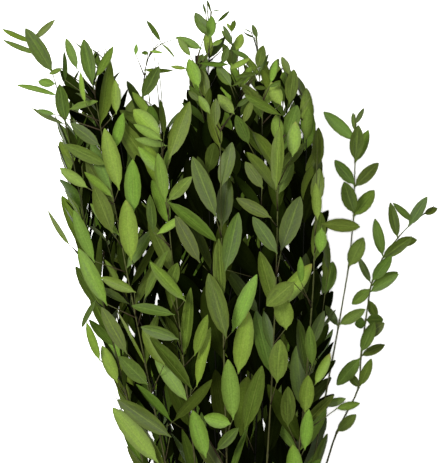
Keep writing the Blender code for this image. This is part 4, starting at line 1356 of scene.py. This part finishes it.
def bark_material():
    material, tree, shader = new_material("young_eucalyptus_bark")
    place = add(tree, "Attribute", {}, attribute_name=PLACE).outputs["Vector"]
    along = add(tree, "SeparateXYZ", {0: place}).outputs["Y"]
    whole = add(tree, "TexCoord", {}).outputs["Object"]
    drawn = add(tree, "Mapping", {"Vector": whole, "Scale": FURROWS})
    furrows = add(tree, "TexNoise", {"Vector": drawn, "Scale": 1.0, "Detail": 3.0})
    uneven = add(tree, "Math", {0: furrows, 1: 0.5, 2: along}, operation="MULTIPLY_ADD")
    youth = add(tree, "MapRange", {"Value": uneven, 1: 0.45, 2: 1.15, 3: 0.0, 4: 1.0},
                interpolation_type="SMOOTHSTEP")
    body = add(tree, "Mix", {0: youth, 6: "#282116", 7: "#34381B"}, data_type="RGBA")
    dark = add(tree, "MapRange", {"Value": furrows, 1: 0.3, 2: 0.7, 3: 0.65, 4: 1.15})
    # Painted shade: the bark's furrow streaks are darkened by how open the place is, nearly black in
    # the crowded middle.
    shade = add(tree, "Math", {0: dark, 1: painted_shade_share(tree)}, operation="MULTIPLY")
    colour = add(tree, "Mix", {0: 1.0, 6: body, 7: shade}, data_type="RGBA", blend_type="MULTIPLY")
    bump = add(tree, "Bump", {"Height": furrows, "Strength": 0.6, "Distance": 0.15 * MM})
    fill(tree, shader, {"Base Color": colour, "Normal": bump, "Roughness": 0.62,
                        "Specular IOR Level": 0.04})
    return material


def cut_wood_material():
    material, tree, shader = new_material("cut_dry_wood")
    whole = add(tree, "TexCoord", {}).outputs["Object"]
    pores = add(tree, "TexNoise", {"Vector": whole, "Scale": PORES, "Detail": 2.0})
    colour = add(tree, "Mix", {0: pores, 6: "#8E7A52", 7: "#D9C9A0"}, data_type="RGBA")
    fill(tree, shader, {"Base Color": colour, "Roughness": 0.85})
    return material


bark, cut_wood = bark_material(), cut_wood_material()
print("twig materials:", bark.name, cut_wood.name)

# %% [markdown]
# Each leafy stem becomes one mesh: the stem, its side shoot, its short twigs and its
# leaves. It takes the place of the plain solid of the same name. The plan was made
# about the tie, and the solids were then centred, so the finished mesh moves by the
# same shift.

# %% Dress the stems
tie_low, tie_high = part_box("tie")
SHIFT = (tie_low + tie_high) / 2 - Vector((0, 0, TIE_HEIGHT))
look_draw = random.Random(SEED + 2)


def dress_stem(stem):
    mesh = bmesh.new()
    mesh.verts.layers.float_vector.new(PLACE)
    mesh.verts.layers.float.new(PAINTED_LIGHT)
    tone = look_draw.random()
    grown = leaves[stem.name]
    # The two shoots that stand clear at the right get a darker tone: painted shade for the side away
    # from the light.
    painted_shade_scale = 0.5 if stem.name in (RIGHT_SHOOT, FAR_RIGHT_SHOOT) else 1.0
    add_twig(mesh, Twig(stem, grown), 8, tone)
    for shoot in shoots[stem.name]:
        add_twig(mesh, Twig(shoot, []), 6, tone)
    for leaf in grown:
        add_blade(mesh, leaf, Look(leaf, look_draw, painted_shade_scale))
    bmesh.ops.translate(mesh, vec=SHIFT, verts=mesh.verts)
    return mesh


def finished_piece(name, mesh, materials):
    data = bpy.data.meshes.new(name)
    mesh.to_mesh(data)
    mesh.free()
    for material in materials:
        data.materials.append(material)
    return placed(name, data)


finishes = (bark, upper_side, underside, painted_shade_leaf, cut_wood)
faces_made = 0
for stem in stems:
    piece = finished_piece("leafy_" + stem.name, dress_stem(stem), finishes)
    faces_made += len(piece.data.polygons)
    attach(piece, "root")
    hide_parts(stem.name)
print("fine stems and leaves:", faces_made, "faces")

# %% [markdown]
# An elastic is wound twice round the stems. It is one loop of round rubber cord, whose
# two turns lie side by side and change places where one crosses over the other. A
# closed curve with a round section is that loop.

# %% Elastic tie
CORD_RADIUS = 1.1 * MM
TURNS = 2
LOOP_POINTS = 180
CROSSING = math.radians(115)
DUST = 0.7 / MM  # specks 1.4 mm apart, coarser than real dust, or none would show


def make_elastic(material):
    held = (len(RING_COUNTS) - 1) * STEM_PITCH + STEM_RADIUS
    loop = []
    for i in range(LOOP_POINTS):
        turn = TURNS * math.tau * i / LOOP_POINTS
        apart = math.tanh(4 * math.cos(turn / TURNS)) / math.tanh(4)
        over = (1 - apart * apart) * (math.sin(turn / TURNS) > 0)
        radius = held + CORD_RADIUS * (0.9 + 1.9 * over)
        angle = turn + CROSSING - math.pi
        y = apart * 1.08 * CORD_RADIUS
        loop.append((radius * math.cos(angle), y, radius * math.sin(angle)))
    mesh = swept_mesh(loop, [CORD_RADIUS] * LOOP_POINTS, 4, closed=True)
    bmesh.ops.recalc_face_normals(mesh, faces=mesh.faces)
    bmesh.ops.translate(mesh, vec=(tie_low + tie_high) / 2, verts=mesh.verts)
    for face in mesh.faces:
        face.smooth = True
    return finished_piece("elastic_tie", mesh, (material,))


def rubber_material():
    """Vulcanised natural rubber: tan and matt, with a little dust in its pores."""
    material, tree, shader = new_material("tan_natural_rubber")
    whole = add(tree, "TexCoord", {}).outputs["Object"]
    dust = add(tree, "TexNoise", {"Vector": whole, "Scale": DUST, "Detail": 3.0})
    colour = add(tree, "Mix", {0: dust, 6: "#A97C45", 7: "#CDA56B"}, data_type="RGBA")
    bump = add(tree, "Bump", {"Height": dust, "Strength": 0.3, "Distance": 0.1 * MM})
    fill(tree, shader, {"Base Color": colour, "Normal": bump, "Roughness": 0.55})
    return material


elastic = make_elastic(rubber_material())
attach(elastic, "root")
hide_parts("tie")
print("elastic:", len(elastic.data.polygons), "faces")

# %% [markdown]
# The photograph shows the bunch from the front on pure white. Here it lies on a pale
# table, and the camera looks straight down on it from far away, which keeps the flat
# look of the photograph. The lens is long enough to make one pixel of the picture
# 0.7 mm again, at the middle of the foliage.

# %% Table and camera
PICTURE_WIDTH, PICTURE_HEIGHT = 440, 463
CAMERA_DISTANCE = 2.4
SENSOR = 36.0


def make_table():
    material, tree, shader = new_material("white_paper_sweep")
    fill(tree, shader, {"Base Color": "#F2F2F0", "Roughness": 0.9})
    mesh = bmesh.new()
    bmesh.ops.create_grid(mesh, x_segments=1, y_segments=1, size=6.0)
    return finished_piece("table", mesh, (material,))


def make_camera():
    data = bpy.data.cameras.new("camera")
    data.sensor_width = SENSOR
    data.lens = SENSOR * CAMERA_DISTANCE / (PICTURE_HEIGHT * PIXEL)
    camera = placed("camera", data)
    aim = from_photo(PICTURE_WIDTH / 2, PICTURE_HEIGHT / 2, CORE_HEIGHT) + SHIFT
    camera.location = aim + CAMERA_DISTANCE * UP
    bpy.context.scene.camera = camera
    return aim


make_table()
aim = make_camera()
print("the camera looks at", [round(c / MM) for c in aim], "mm")

# %% [markdown]
# A soft key lamp from the upper left gives each leaf a light and a dark side and lets
# the front leaves shade the ones behind. A second lamp at the camera fills the shadows:
# the camera can't see the shadows that it throws, so the table stays white.

# %% Light
KEY_POWER, KEY_SIZE = 70.0, 0.6
FILL_POWER, FILL_SIZE = 74.0, 0.08
SURROUND = 0.03


def add_lamp(name, aim, offset, power, size):
    data = bpy.data.lights.new(name, "AREA")
    data.energy = power
    data.size = size
    lamp = placed(name, data)
    lamp.location = aim + Vector(offset)
    lamp.rotation_euler = (aim - lamp.location).to_track_quat("-Z", "Y").to_euler()
    lamp.visible_camera = False


def add_surround():
    world = bpy.data.worlds.new("surround")
    world.use_nodes = True
    background = world.node_tree.nodes["Background"]
    background.inputs["Color"].default_value = (1.0, 1.0, 1.0, 1.0)
    background.inputs["Strength"].default_value = SURROUND
    bpy.context.scene.world = world


add_lamp("key_lamp", aim, (-0.9, 0.6, 1.3), KEY_POWER, KEY_SIZE)
add_lamp("fill_lamp", aim, (0.0, 0.0, CAMERA_DISTANCE), FILL_POWER, FILL_SIZE)
add_surround()
bpy.context.scene.view_settings.view_transform = "Standard"
